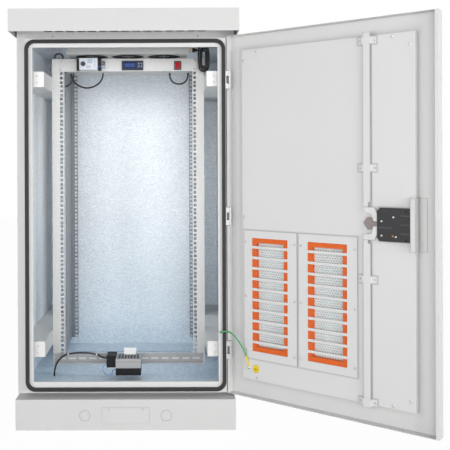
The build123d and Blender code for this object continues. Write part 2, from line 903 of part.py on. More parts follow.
# rack screws, rivets and small screws on the body
rivet_rows = [
    base + support_height / 2 + side * support_rivet_gap / 2
    for base in (support_low, support_high)
    for side in (-1, 1)
]
with BuildPart() as body_fasteners:
    with BuildSketch(front_plane.offset(-panel_front)):
        with Locations(
            [(side * rack_hole_x, z) for side in (-1, 1) for z in (screw_low, screw_high)]
        ):
            Circle(panel_screw_radius)
    extrude(amount=panel_screw_height)
    fillet(body_fasteners.faces().sort_by(Axis.Y)[0:4].edges(), panel_screw_height / 2)
    with BuildSketch(front_plane.offset(-support_front)):
        with Locations([(side * support_rivet_x, z) for side in (-1, 1) for z in rivet_rows]):
            Circle(support_rivet_radius)
    extrude(amount=support_rivet_height)
    with BuildSketch(front_plane.offset(-shell_front + header_thickness)):
        with Locations((-stud_x, stud_z), (stud_x, stud_z)):
            Circle(stud_radius)
    extrude(amount=stud_height)
    with BuildSketch(front_plane.offset(-plinth_front + sheet)):
        with Locations(
            (-access_screw_x, access_top - access_lap), (access_screw_x, access_top - access_lap)
        ):
            Circle(access_screw_radius)
    extrude(amount=access_screw_height)
save(body_fasteners, "body_fasteners")

with BuildPart() as module_body:
    block(
        module_face_left, module_face_right, module_front, panel_front, module_bottom, module_top,
    )
    chamfer(module_body.faces().sort_by(Axis.Y)[0].edges(), sheet)
save(module_body, "module_body")

module_step = (module_front + panel_front) / 2
with BuildPart() as module_terminals:
    block(module_left, module_face_left, module_step, panel_front, module_bottom, module_top)
    block(module_face_right, module_right, module_step, panel_front, module_bottom, module_top)
save(module_terminals, "module_terminals")

with BuildPart() as module_knob:
    with BuildSketch(front_plane.offset(-module_front + slide_gap)):
        with Locations((knob_x, knob_z)):
            Circle(knob_radius)
    extrude(amount=knob_height)
    with BuildSketch(front_plane.offset(-module_front + slide_gap + knob_height)):
        with Locations((knob_x, knob_z)):
            Rectangle(strut_height, 2 * knob_radius - strut_height)
    extrude(amount=-sheet, mode=Mode.SUBTRACT)
save(module_knob, "module_knob")

controller_front = panel_front - controller_depth
key_spots = [
    (key_left + column * key_pitch + key_size / 2, key_low + row * key_pitch + key_size / 2)
    for row in (0, 1)
    for column in (0, 1)
]
with BuildPart() as controller_case:
    block(
        controller_left, controller_right, controller_front, panel_front,
        controller_bottom, controller_top,
    )
    with BuildSketch(front_plane.offset(-controller_front)):
        with Locations(key_spots):
            Rectangle(key_size + 2 * slide_gap, key_size + 2 * slide_gap)
    extrude(amount=-2 * key_stand, mode=Mode.SUBTRACT)
save(controller_case, "controller_case")

with BuildPart() as controller_display:
    block(
        display_left, display_right, controller_front - display_depth, controller_front,
        display_bottom, display_top,
    )
save(controller_display, "controller_display")

for number, spot in enumerate(key_spots):
    with BuildPart() as controller_key:
        with BuildSketch(front_plane.offset(-controller_front - key_stand / 2)):
            with Locations(spot):
                Rectangle(key_size, key_size)
        extrude(amount=key_stand * 3 / 2)
    save(controller_key, f"controller_key_{number + 1}")

rocker_front = panel_front - rocker_depth
with BuildPart() as rocker_bezel:
    block(rocker_left, rocker_right, rocker_front, panel_front, rocker_bottom, rocker_top)
    block(
        rocker_hole_left, rocker_hole_right, rocker_front, panel_front,
        rocker_hole_bottom, rocker_hole_top, Mode.SUBTRACT,
    )
save(rocker_bezel, "rocker_bezel")

rocker_half = (rocker_hole_top - rocker_hole_bottom) / 2 - 2 * slide_gap
rocker_middle = (rocker_hole_top + rocker_hole_bottom) / 2
rocker_lean = math.radians(rocker_tilt)
rocker_plane = Plane(
    origin=(rocker_hole_left + slide_gap, panel_front - rocker_pivot, rocker_middle),
    x_dir=(0, math.cos(rocker_lean), math.sin(rocker_lean)),
    z_dir=(1, 0, 0),
)
with BuildPart() as rocker_switch:
    with BuildSketch(rocker_plane):
        with BuildLine():
            Polyline(
                (-rocker_stand - rocker_crown, -rocker_half),
                (-rocker_stand, 0),
                (-rocker_stand - rocker_crown, rocker_half),
                (rocker_pivot / 2, rocker_half),
                (rocker_pivot / 2, -rocker_half),
                close=True,
            )
        make_face()
    extrude(amount=rocker_hole_right - rocker_hole_left - 2 * slide_gap)
save(rocker_switch, "rocker_switch")

# heater on the hat rail
heater_x = (heater_left + heater_right) / 2
heater_front = hat_front - heater_reach
block_front = hat_front - block_reach
heater_y = (heater_front + hat_front) / 2
with BuildPart() as heater_body:
    block(heater_left, heater_right, heater_front, hat_front, heater_bottom, heater_top)
    with BuildSketch(Plane.XY.offset(heater_top)):
        with Locations((heater_x, heater_y)):
            with GridLocations(heater_slot_pitch, 0, heater_slot_count, 1):
                Rectangle(heater_slot_width, heater_slot_length)
    extrude(amount=heater_bottom - heater_top, mode=Mode.SUBTRACT)
save(heater_body, "heater_body")

with BuildPart() as heater_fan:
    block(heater_left, heater_right, heater_front, hat_front, heater_fan_bottom, heater_bottom)
    with BuildSketch(Plane.XY.offset(heater_fan_bottom)):
        with Locations((heater_x, heater_y)):
            Circle(heater_bore)
    extrude(amount=heater_bottom - heater_fan_bottom, mode=Mode.SUBTRACT)
    with BuildSketch(Plane.XY.offset(heater_fan_bottom)):
        with Locations((heater_x, heater_y)):
            Circle(heater_hub)
            Rectangle(2 * heater_bore + strut_width, strut_width)
            Rectangle(strut_width, 2 * heater_bore + strut_width)
    extrude(amount=strut_height)
save(heater_fan, "heater_fan")

heater_rotor_base = heater_fan_bottom + strut_height + rotor_gap
heater_blade = heater_tip - heater_hub + blade_thickness
with BuildPart() as heater_rotor:
    with BuildSketch(Plane.XY.offset(heater_rotor_base)):
        with Locations((heater_x, heater_y)):
            Circle(heater_hub)
    extrude(amount=rotor_height)
    with BuildSketch(Plane.XY.offset(heater_rotor_base)):
        with Locations((heater_x, heater_y)):
            Circle(rotor_shaft)
    extrude(amount=-rotor_gap)
    with Locations((heater_x, heater_y, heater_rotor_base + rotor_height / 2)):
        with PolarLocations((heater_hub + heater_tip) / 2, blade_count):
            Box(heater_blade, heater_hub, blade_thickness, rotation=(blade_tilt, 0, 0))
save(heater_rotor, "heater_rotor")

with BuildPart() as terminal_block:
    block(block_left, heater_left, block_front, hat_front, block_bottom, block_top)
    chamfer(terminal_block.faces().sort_by(Axis.Y)[0].edges(), sheet)
save(terminal_block, "terminal_block")

with BuildPart() as heater_clip:
    block(clip_left, clip_right, hat_front - clip_depth, hat_front, heater_top, clip_top)
save(heater_clip, "heater_clip")

# door leaf as one folded tray, notched at the hinges
skin_in = -door_fall + sheet
with BuildPart() as door_skin:
    slab(-door_edge, door_width, door_bottom, door_top, -door_fall, door_rise)
    slab(
        -door_edge + sheet, door_width - sheet, door_bottom + sheet, door_top - sheet,
        skin_in, door_rise, Mode.SUBTRACT,
    )
    slab(
        door_width - door_lip, door_width - sheet, door_bottom + sheet, door_top - sheet,
        door_rise - sheet, door_rise,
    )
    for height in hinge_heights:
        slab(
            -door_edge, -door_edge + sheet, height - hinge_height / 2 - sheet,
            height + hinge_height / 2 + sheet, door_rise - notch_depth, door_rise, Mode.SUBTRACT,
        )
    for grille in grille_edges:
        with BuildSketch(door_plane.offset(-door_fall)):
            with Locations(((grille[0] + grille[1]) / 2, (grille_bottom + grille_top) / 2)):
                with GridLocations(0, (grille_top - grille_bottom) / louvre_count, 1, louvre_count):
                    Rectangle(grille[1] - grille[0] - 2 * filter_border, louvre_height)
        extrude(amount=sheet, mode=Mode.SUBTRACT)
save(door_skin, "door_skin")

# three knuckled hinges
knuckle_tall = hinge_height - 2 * hinge_outer - 2 * hinge_play
with BuildPart() as hinge_frame_leaves:
    for height in hinge_heights:
        low = height - hinge_height / 2
        high = height + hinge_height / 2
        block(
            collar_half, collar_half + leaf_thickness, axis_y - leaf_front, axis_y + leaf_back, low, high,
        )
        for start in (low, high - hinge_outer):
            block(
                collar_half + leaf_thickness, axis_x, axis_y - arm_half, axis_y + arm_half,
                start, start + hinge_outer,
            )
            with BuildSketch(Plane.XY.offset(start)):
                with Locations((axis_x, axis_y)):
                    Circle(knuckle_radius)
            extrude(amount=hinge_outer)
        with BuildSketch(Plane.XY.offset(low)):
            with Locations((axis_x, axis_y)):
                Circle(pin_radius)
        extrude(amount=hinge_height)
save(hinge_frame_leaves, "hinge_frame_leaves")

with BuildPart() as hinge_door_leaves:
    for height in hinge_heights:
        low = height - hinge_height / 2
        high = height + hinge_height / 2
        slab(
            -door_edge + sheet, -door_edge + sheet + leaf_thickness, low, high,
            -door_leaf_out, -door_leaf_in,
        )
        slab(
            -door_edge + sheet, 0, height - knuckle_tall / 2, height + knuckle_tall / 2,
            -door_leaf_in - leaf_thickness, 0,
        )
        with BuildSketch(Plane.XY.offset(height - knuckle_tall / 2)):
            with Locations((axis_x, axis_y)):
                Circle(knuckle_radius)
        extrude(amount=knuckle_tall)
        with BuildSketch(Plane.XY.offset(height - knuckle_tall / 2)):
            with Locations((axis_x, axis_y)):
                Circle(pin_radius + pin_play)
        extrude(amount=knuckle_tall, mode=Mode.SUBTRACT)
save(hinge_door_leaves, "hinge_door_leaves")

# inner panel, a shallow tray screwed to the leaf
inner_back = inner_face - inner_sheet
with BuildPart() as inner_panel:
    slab(inner_left, inner_right, inner_bottom, inner_top, skin_in, inner_face)
    slab(
        inner_left + inner_sheet, inner_right - inner_sheet, inner_bottom + inner_sheet,
        inner_top - inner_sheet, skin_in, inner_back, Mode.SUBTRACT,
    )
    for grille in grille_edges:
        slab(
            grille[0] - filter_lap, grille[1] + filter_lap, grille_bottom - filter_lap,
            grille_top + filter_lap, inner_back, inner_face, Mode.SUBTRACT,
        )
save(inner_panel, "inner_panel")

# filter covers, moulded frames and mats
gap_height = (grille_top - grille_bottom - (grille_count - 1) * grille_bar) / grille_count
with BuildPart() as filter_covers:
    for cover, grille in zip(cover_edges, grille_edges):
        slab(cover[0], cover[1], cover_bottom, cover_top, inner_face, inner_face + cover_thickness)
        with BuildSketch(door_plane.offset(inner_face)):
            with Locations(((grille[0] + grille[1]) / 2, (grille_bottom + grille_top) / 2)):
                with GridLocations(0, gap_height + grille_bar, 1, grille_count):
                    Rectangle(grille[1] - grille[0], gap_height)
        extrude(amount=cover_thickness, mode=Mode.SUBTRACT)
save(filter_covers, "filter_covers")

with BuildPart() as filter_frames:
    for grille in grille_edges:
        slab(
            grille[0] - filter_lap + slide_gap, grille[1] + filter_lap - slide_gap,
            grille_bottom - filter_lap + slide_gap, grille_top + filter_lap - slide_gap,
            skin_in, inner_face - slide_gap,
        )
        slab(
            grille[0] + filter_border, grille[1] - filter_border,
            grille_bottom + filter_border, grille_top - filter_border,
            skin_in, inner_face - slide_gap, Mode.SUBTRACT,
        )
save(filter_frames, "filter_frames")

with BuildPart() as filter_mats:
    for grille in grille_edges:
        slab(
            grille[0] + filter_border, grille[1] - filter_border,
            grille_bottom + filter_border, grille_top - filter_border,
            skin_in, skin_in + mat_thickness,
        )
save(filter_mats, "filter_mats")

# lock case and edge angle
lock_face = inner_face + lock_thickness
with BuildPart() as lock_case:
    with BuildSketch(door_plane.offset(inner_face)):
        with BuildLine():
            Polyline(
                (lock_left, lock_bottom + lock_chamfer),
                (lock_left + lock_chamfer, lock_bottom),
                (lock_right, lock_bottom),
                (lock_right, lock_top),
                (lock_left + lock_chamfer, lock_top),
                (lock_left, lock_top - lock_chamfer),
                close=True,
            )
        make_face()
    extrude(amount=lock_thickness)
    with BuildSketch(door_plane.offset(lock_face)):
        with Locations((lock_right - lock_slot_length / 2 - lock_slot_width / 2, lock_middle)):
            with GridLocations(0, lock_slot_pitch, 1, 3):
                Rectangle(lock_slot_length, lock_slot_width)
    extrude(amount=-lock_slot_depth, mode=Mode.SUBTRACT)
save(lock_case, "lock_case")

angle_face = lock_face + 2 * sheet
angle_slots = [(angle_slot_t, lock_middle + side * angle_slot_z) for side in (-1, 1)]
with BuildPart() as lock_angle:
    slab(angle_left, angle_upright + sheet, angle_low, angle_high, lock_face + slide_gap, angle_face)
    slab(angle_upright, angle_upright + sheet, angle_low, angle_high, skin_in, angle_face)
    slab(angle_upright, angle_foot, angle_low, angle_high, skin_in, skin_in + sheet)
    with BuildSketch(door_plane.offset(skin_in)):
        with Locations(angle_slots):
            Rectangle(angle_slot_length, angle_slot_width)
    extrude(amount=sheet, mode=Mode.SUBTRACT)
save(lock_angle, "lock_angle")

with BuildPart() as lock_latch:
    with BuildSketch(door_plane.offset(latch_under)):
        with BuildLine():
            Polyline(*latch_outline, close=True)
        make_face()
    extrude(amount=latch_thickness)
save(lock_latch, "lock_latch")

# locking rods with their riveted links and pins
rod_top = rod_under + rod_thickness
tab_left = rod_left + sheet
pin_t = tab_left + tab_width / 2
link_top = rod_top + link_thickness
lower_outline = [(t, 2 * lock_middle - z) for t, z in link_outline]
with BuildPart() as upper_rod:
    slab(rod_left, rod_right, upper_rod_bottom, upper_rod_top, rod_under, rod_top)
    slab(
        tab_left, tab_left + tab_width, upper_rod_bottom - tab_length, upper_rod_bottom, rod_under, rod_top,
    )
    with BuildSketch(door_plane.offset(rod_top)):
        with BuildLine():
            Polyline(*link_outline, close=True)
        make_face()
    extrude(amount=link_thickness)
    with BuildSketch(door_plane.offset(link_top)):
        with Locations((pin_t, upper_rod_bottom - tab_length + tab_width / 2)):
            Circle(link_pin_radius)
    extrude(amount=link_pin_height)
save(upper_rod, "upper_rod")

with BuildPart() as lower_rod:
    slab(rod_left, rod_right, lower_rod_bottom, lower_rod_top, rod_under, rod_top)
    slab(tab_left, tab_left + tab_width, lower_rod_top, lower_rod_top + tab_length, rod_under, rod_top)
    with BuildSketch(door_plane.offset(rod_top)):
        with BuildLine():
            Polyline(*lower_outline, close=True)
        make_face()
    extrude(amount=link_thickness)
    with BuildSketch(door_plane.offset(link_top)):
        with Locations((pin_t, lower_rod_top + tab_length - tab_width / 2)):
            Circle(link_pin_radius)
    extrude(amount=link_pin_height)
save(lower_rod, "lower_rod")

# bent guides that hold the rods to the panel
bridge_low = rod_top + slide_gap
bridge_high = bridge_low + guide_leg
with BuildPart() as rod_guides:
    for height in guide_heights:
        low = height - guide_width / 2
        high = height + guide_width / 2
        slab(guide_left, rod_left - guide_leg, low, high, inner_face, inner_face + guide_leg)
        slab(rod_right + guide_leg, guide_right, low, high, inner_face, inner_face + guide_leg)
        slab(rod_left - 2 * guide_leg, rod_left - guide_leg, low, high, inner_face, bridge_high)
        slab(rod_right + guide_leg, rod_right + 2 * guide_leg, low, high, inner_face, bridge_high)
        slab(rod_left - 2 * guide_leg, rod_right + 2 * guide_leg, low, high, bridge_low, bridge_high)
save(rod_guides, "rod_guides")

# screws of the panel, covers and guides, rivets of the lock and the earth stud
guide_screw_spots = [
    (t, height)
    for height in guide_heights
    for t in (guide_left + screw_radius + sheet, guide_right - screw_radius - sheet)
]
cover_screw_spots = [
    (t, height)
    for cover in cover_edges
    for t in (cover[0] + cover_screw_inset, cover[1] - cover_screw_inset)
    for height in cover_screw_heights
]
with BuildPart() as door_screws:
    with BuildSketch(door_plane.offset(inner_face)):
        with Locations(inner_screw_spots):
            Circle(screw_radius)
    extrude(amount=screw_height)
    with BuildSketch(door_plane.offset(inner_face + guide_leg)):
        with Locations(guide_screw_spots):
            Circle(cover_screw_radius)
    extrude(amount=screw_height)
    with BuildSketch(door_plane.offset(inner_face + cover_thickness)):
        with Locations(cover_screw_spots):
            Circle(cover_screw_radius)
    extrude(amount=screw_height)
    with BuildSketch(door_plane.offset(lock_face)):
        with Locations(lock_rivet_spots):
            Circle(lock_rivet_radius)
    extrude(amount=lock_rivet_height)
    with BuildSketch(door_plane.offset(inner_face)):
        with Locations((earth_t, earth_z)):
            Circle(lug_radius)
    extrude(amount=lug_height)
save(door_screws, "door_screws")

# earth sign and outside keyhole plate
with BuildPart() as earth_disc:
    with BuildSketch(door_plane.offset(inner_face)):
        with Locations((earth_disc_t, earth_z)):
            Circle(earth_disc_radius)
    extrude(amount=earth_disc_height)
save(earth_disc, "earth_disc")

with BuildPart() as key_escutcheon:
    with BuildSketch(door_plane.offset(-door_fall)):
        with Locations((escutcheon_t, lock_middle)):
            RectangleRounded(2 * escutcheon_half, 2 * escutcheon_tall, escutcheon_half / 2)
            Circle(keyhole_radius, mode=Mode.SUBTRACT)
    extrude(amount=-escutcheon_height)
save(key_escutcheon, "key_escutcheon")

# spare cord tied into a hank with its plug
plug_right = hank_x - hank_width / 2
plug_y = hank_back - hank_deep / 2
with BuildPart() as cord_hank:
    with BuildSketch(front_plane.offset(-hank_back)):
        with Locations((hank_x, (hank_bottom + ceiling_bottom) / 2)):
            SlotOverall(ceiling_bottom - hank_bottom, hank_width, rotation=90)
            SlotOverall(
                ceiling_bottom - hank_bottom - 2 * hank_thick, hank_width - 2 * hank_thick,
                rotation=90, mode=Mode.SUBTRACT,
            )
    extrude(amount=hank_deep)
    block(
        plug_right - plug_length, plug_right, plug_y - plug_side / 2, plug_y + plug_side / 2,
        plug_z - plug_side / 2, plug_z + plug_side / 2,
    )
save(cord_hank, "cord_hank")

with BuildPart() as plug_pins:
    with BuildSketch(Plane.YZ.offset(plug_right - plug_length)):
        with Locations((plug_y, plug_z - plug_pin_gap / 2), (plug_y, plug_z + plug_pin_gap / 2)):
            Circle(plug_pin_radius)
    extrude(amount=-plug_pin_length)
save(plug_pins, "plug_pins")


def bend_radii(points):
    """Gives each corner the radius that takes a share of its shorter run."""
    radii = []
    for before, corner, after in zip(points, points[1:], points[2:]):
        run_in = Vector(*corner) - Vector(*before)
        run_out = Vector(*after) - Vector(*corner)
        half_turn = math.radians(run_in.get_angle(run_out) / 2)
        radii.append(turn_share * min(run_in.length, run_out.length) / math.tan(half_turn))
    return radii


# loose wiring inside the cabinet and the earth wire to the door
for label, radius, points in wire_routes:
    bends = bend_radii(points)
    with BuildPart() as wire:
        with BuildLine() as route:
            FilletPolyline(*points, radius=bends)
        with BuildSketch(Plane(origin=route.line @ 0, z_dir=route.line % 0)):
            Circle(radius)
        sweep()
    save(wire, label)
    length = sum(edge.length for edge in route.edges())
    print(label, round(length, 1), [round(bend, 1) for bend in bends])
    print(round(wire.part.volume), round(math.pi * radius**2 * length))
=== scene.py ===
"""Finishes, wiring, stage and camera for a roadside utility cabinet with its door open."""

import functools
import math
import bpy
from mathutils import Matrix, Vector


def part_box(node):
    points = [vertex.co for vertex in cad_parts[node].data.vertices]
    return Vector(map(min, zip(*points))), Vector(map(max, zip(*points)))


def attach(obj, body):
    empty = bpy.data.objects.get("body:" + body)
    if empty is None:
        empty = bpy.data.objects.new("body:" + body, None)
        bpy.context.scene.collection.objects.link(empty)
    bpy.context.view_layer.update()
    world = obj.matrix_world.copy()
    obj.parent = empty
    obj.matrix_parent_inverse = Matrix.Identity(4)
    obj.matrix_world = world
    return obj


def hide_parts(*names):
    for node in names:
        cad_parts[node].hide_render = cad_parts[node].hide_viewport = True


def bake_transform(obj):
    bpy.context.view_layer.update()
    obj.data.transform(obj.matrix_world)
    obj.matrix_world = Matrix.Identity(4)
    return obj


bl_info = {
    "name": "Roadside Utility Cabinet",
    "version": (1, 0, 0),
    "blender": (4, 5, 0),
    "location": "3D View > Sidebar > Cabinet",
    "description": "Dresses a packed outdoor equipment cabinet and sets its studio",
    "category": "Object",
}

import bpy
import numpy as np
from mathutils import Matrix

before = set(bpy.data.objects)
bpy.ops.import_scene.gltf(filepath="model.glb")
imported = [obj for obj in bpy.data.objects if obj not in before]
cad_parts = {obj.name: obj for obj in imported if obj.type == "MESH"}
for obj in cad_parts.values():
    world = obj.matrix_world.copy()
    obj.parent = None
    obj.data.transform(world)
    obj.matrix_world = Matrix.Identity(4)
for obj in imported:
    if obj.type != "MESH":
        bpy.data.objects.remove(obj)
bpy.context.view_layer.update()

MM = 0.001
TAU = 2.0 * math.pi

# The door stands open: its hinge axis, the direction along it and the normal of its inner side, in plan
DOOR_ANGLE = math.radians(140.8)
DOOR_AXIS = (0.339, -0.3048)
DOOR_ALONG = (-math.cos(DOOR_ANGLE), -math.sin(DOOR_ANGLE))
DOOR_NORMAL = (-math.sin(DOOR_ANGLE), math.cos(DOOR_ANGLE))

# Place along that normal that parts the door skin's inner face from its outer one
DOOR_BACK = -0.0213

# Foil: half width where its side walls begin, and the heights between which its painted blue reflection turns
# from bluer to clear
FOIL_SIDE = 0.335
FOIL_FOOT = 0.114
FOIL_CLEAR = 0.700

# Paint: scales of the orange peel and of the slow drift, roughness, and widths of the painted shade lines at
# scores and folded edges
PEEL_SCALE = 1400.0
DRIFT_SCALE = 2.3
PAINT_ROUGHNESS = 0.42
SCORE_LINE = 1.1 * MM
EDGE_LINE = 1.6 * MM

# Pitches of the filter mesh along and up the door, and of the heater's vents across and along its top
MESH_PITCH = (8.6 * MM, 7.4 * MM)
VENT_PITCH = (9.4 * MM, 8.2 * MM)

# Earth sign: half width, foot and top of each bar
EARTH_BARS = (
    (6.4 * MM, -0.8 * MM, 0.6 * MM), (4.3 * MM, -3.4 * MM, -2.0 * MM), (2.2 * MM, -6.0 * MM, -4.6 * MM),
)

# Sides of a screw head, of a wire's tube, of a cable tie round its cable and in its section, and of the plug
HEAD_SIDES = 16
TUBE_SIDES = 14
TIE_SIDES = (20, 10)
PLUG_SIDES = 28

# Routes of the wires, in metres
PANEL_CABLE_Y = -0.060
TRAY_UNDERSIDE = 1.17075
LEFT_CABLE = (
    (-0.205, PANEL_CABLE_Y, TRAY_UNDERSIDE), (-0.205, PANEL_CABLE_Y, 1.142), (-0.150, PANEL_CABLE_Y, 1.112),
    (-0.092, PANEL_CABLE_Y, 1.140), (-0.092, PANEL_CABLE_Y, TRAY_UNDERSIDE),
)
RIGHT_CABLE = (
    (0.146, PANEL_CABLE_Y, TRAY_UNDERSIDE), (0.146, PANEL_CABLE_Y, 1.143), (0.179, PANEL_CABLE_Y, 1.128),
    (0.211, PANEL_CABLE_Y, 1.143), (0.211, PANEL_CABLE_Y, TRAY_UNDERSIDE),
)
HEATER_CABLE = (
    (-0.258, -0.141, 0.114), (-0.258, -0.141, 0.150), (-0.226, -0.139, 0.188), (-0.170, -0.137, 0.195),
    (-0.112, -0.137, 0.190), (-0.092, -0.141, 0.176), (-0.073, -0.141, 0.176),
)
RAIL_LOOP = (
    (-0.260, -0.098, 1.180), (-0.260, -0.098, 1.212), (-0.256, -0.098, 1.236), (-0.232, -0.098, 1.236),
    (-0.227, -0.098, 1.212), (-0.227, -0.098, 1.180),
)
SHORT_CABLE = (
    (-0.196, -0.066, TRAY_UNDERSIDE), (-0.196, -0.066, 1.150), (-0.210, -0.066, 1.130),
    (-0.236, -0.066, 1.118), (-0.251, -0.066, 1.116),
)
EARTH_WIRE = (
    (0.3055, -0.315, 0.304), (0.3055, -0.334, 0.304), (0.318, -0.346, 0.314), (0.342, -0.351, 0.308),
    (0.374, -0.3525, 0.264), (0.388, -0.3525, 0.228), (0.3913, -0.3499, 0.2028),
)


def linear(red, green, blue):
    """Turns display levels from 0 to 255 into linear colour by the display curve."""
    levels = np.array((red, green, blue)) / 255.0
    low = levels / 12.92
    high = ((levels + 0.055) / 1.055) ** 2.4
    return tuple(float(v) for v in np.where(levels <= 0.04045, low, high))


def operation(kind, swapped=False):
    """A method that adds one maths node, with its two terms as they stand or swapped."""
    def method(value, other=0.0):
        terms = (other, value) if swapped else (value, other)
        node = value.tree.nodes.new("ShaderNodeMath")
        node.operation = kind
        for socket, term in zip(node.inputs, terms):
            if isinstance(term, Value):
                value.tree.links.new(term.socket, socket)
            else:
                socket.default_value = term
        return Value(value.tree, node.outputs[0])
    return method


class Value:
    """A shader socket that can stand in a Python expression."""

    def __init__(self, tree, socket):
        self.tree = tree
        self.socket = socket

    __add__ = operation("ADD")
    __radd__ = operation("ADD", True)
    __sub__ = operation("SUBTRACT")
    __rsub__ = operation("SUBTRACT", True)
    __mul__ = operation("MULTIPLY")
    __truediv__ = operation("DIVIDE")
    __mod__ = operation("FLOORED_MODULO")
    __pow__ = operation("POWER")
    __gt__ = operation("GREATER_THAN")
    __lt__ = operation("LESS_THAN")
    __abs__ = operation("ABSOLUTE")
    at_most = operation("MINIMUM")
    at_least = operation("MAXIMUM")

    def between(self, low, high):
        """1 where the value lies between two limits, 0 elsewhere."""
        return (self > low) * (self < high)


def largest(values):
    """The largest of several values."""
    return functools.reduce(Value.at_least, values)


class Finish:
    """One node material, put together from values and a Principled shader."""

    def __init__(self, name):
        self.material = bpy.data.materials.new(name)
        self.material.use_nodes = True
        self.tree = self.material.node_tree
        self.tree.nodes.clear()
        self.shader = self.node("ShaderNodeBsdfPrincipled")
        self.output = self.node("ShaderNodeOutputMaterial", {}, {"Surface": self.shader.outputs[0]})
        self.place = self.node("ShaderNodeTexCoord").outputs["Object"]

    def node(self, kind, settings=None, sockets=None):
        """Adds one node, with its settings first and then the values or links of its sockets."""
        made = self.tree.nodes.new(kind)
        for key, setting in (settings or {}).items():
            setattr(made, key, setting)
        for key, term in (sockets or {}).items():
            self.feed(made.inputs[key], term)
        return made

    def feed(self, socket, term):
        """Links a value or a socket, or sets a plain number or colour."""
        if isinstance(term, Value):
            self.tree.links.new(term.socket, socket)
        elif isinstance(term, bpy.types.NodeSocket):
            self.tree.links.new(term, socket)
        elif isinstance(term, tuple) and len(term) == 3 and socket.type == "RGBA":
            socket.default_value = (*term, 1.0)
        else:
            socket.default_value = term

    def value(self, socket):
        return Value(self.tree, socket)

    def axes(self, place=None):
        """The three coordinates of a place as values."""
        split = self.node("ShaderNodeSeparateXYZ", {}, {"Vector": place or self.place})
        return [self.value(out) for out in split.outputs]

    def shares(self, low, high):
        """The place across and up a box, as shares of its width and height."""
        x, _, z = self.axes()
        return (x - low[0]) / (high[0] - low[0]), (z - low[2]) / (high[2] - low[2])

    def door_axes(self):
        """The place along the door from its hinge axis, out of its inner side, and up."""
        x, y, z = self.axes()
        across, away = x - DOOR_AXIS[0], y - DOOR_AXIS[1]
        along = across * DOOR_ALONG[0] + away * DOOR_ALONG[1]
        return along, across * DOOR_NORMAL[0] + away * DOOR_NORMAL[1], z

    def stretched(self, scale):
        """Object coordinates multiplied axis by axis."""
        node = self.node("ShaderNodeMapping", {}, {"Vector": self.place, "Scale": scale})
        return node.outputs[0]

    def noise(self, scale, detail=3.0, roughness=0.5, place=None):
        """Fractal noise between 0 and 1."""
        sockets = {"Vector": place or self.place, "Scale": scale, "Detail": detail, "Roughness": roughness}
        return self.value(self.node("ShaderNodeTexNoise", {}, sockets).outputs["Fac"])

    def cells(self, scale, feature="F1", smooth=None, place=None):
        """Distance to scattered points, rounded off where asked."""
        sockets = {"Vector": place or self.place, "Scale": scale}
        if smooth is not None:
            sockets["Smoothness"] = smooth
        node = self.node("ShaderNodeTexVoronoi", {"feature": feature}, sockets)
        return self.value(node.outputs["Distance"])

    def cell_tone(self, scale, place=None):
        """One random grey level for each scattered cell."""
        node = self.node("ShaderNodeTexVoronoi", {}, {"Vector": place or self.place, "Scale": scale})
        split = self.node("ShaderNodeSeparateColor", {}, {"Color": node.outputs["Color"]})
        return self.value(split.outputs[0])

    def blend(self, mask, under, over):
        """Mixes two colours by a mask."""
        node = self.node("ShaderNodeMix", {"data_type": "RGBA"})
        self.feed(node.inputs[0], mask)
        self.feed(node.inputs[6], under)
        self.feed(node.inputs[7], over)
        return node.outputs[2]

    def tint(self, colour, amount, spread=0.06):
        """A colour that a value makes a little darker or lighter."""
        dark = tuple(c * (1.0 - spread) for c in colour)
        light = tuple(min(1.0, c * (1.0 + spread)) for c in colour)
        return self.blend(amount, dark, light)

    def relief(self, height, strength, depth, under=None):
        """A Bump normal from a height value, over an earlier one where given."""
        sockets = {"Strength": strength, "Distance": depth, "Height": height}
        if under is not None:
            sockets["Normal"] = under
        return self.node("ShaderNodeBump", {}, sockets).outputs[0]

    def surface(self, **sockets):
        """Sets the shader's sockets, with _ standing for a space, and returns the material."""
        for key, term in sockets.items():
            self.feed(self.shader.inputs[key.replace("_", " ")], term)
        return self.material


def honeycomb(along, up):
    """Distance from the middle of each cell of a staggered grid, in pitches of the grid."""
    row = up - up % 1.0
    across = (along + (row % 2.0) * 0.5) % 1.0 - 0.5
    rise = up % 1.0 - 0.5
    return (across * across + rise * rise) ** 0.5


def paint_film(paint, scale=PEEL_SCALE):
    """Orange peel and a slow drift of tone, which all the paints share."""
    return paint.noise(scale, 2.0, 0.45), paint.noise(DRIFT_SCALE, 4.0, 0.55)


def paint_surface(paint, colour, peel, drift, roughness=PAINT_ROUGHNESS):
    """A coat of paint whose sheen and relief follow its film."""
    return paint.surface(
        Base_Color=colour,
        Roughness=roughness + drift * 0.10 + peel * 0.05,
        Normal=paint.relief(peel, 0.12, 0.0004),
    )


def powder_coat(name, colour):
    """Powder coat: fine orange peel, a slow drift of tone and fine specks."""
    paint = Finish(name)
    peel, drift = paint_film(paint)
    specks = paint.noise(5200.0, 1.0)
    tone = drift * 0.7 + specks * 0.3
    return paint_surface(paint, paint.tint(colour, tone, 0.035), peel, drift)


def score_shade_paint(name, colour, centres, radius, edges=None):
    """Powder coat with thin lines of painted shade at scored knock-outs, and along a cover's edge where
    given.
    """
    paint = Finish(name)
    x, _, z = paint.axes()
    peel, drift = paint_film(paint, 1100.0)
    lines = []
    for across, height in centres:
        reach = ((x - across) * (x - across) + (z - height) * (z - height)) ** 0.5
        lines.append(abs(reach - radius) < SCORE_LINE)
    if edges is not None:
        low, high = edges
        inside = x.between(low[0] + EDGE_LINE, high[0] - EDGE_LINE)
        lines.append(1.0 - inside * z.between(low[2] + EDGE_LINE, high[2] - EDGE_LINE))
    # Painted shade: the score rings and the band round the cover's edge are darkened, standing in for the
    # shade in each groove and in the gap round the cover
    dark = tuple(c * 0.86 for c in colour)
    toned = paint.blend(largest(lines), paint.tint(colour, drift, 0.03), dark)
    return paint_surface(paint, toned, peel, drift, 0.46)


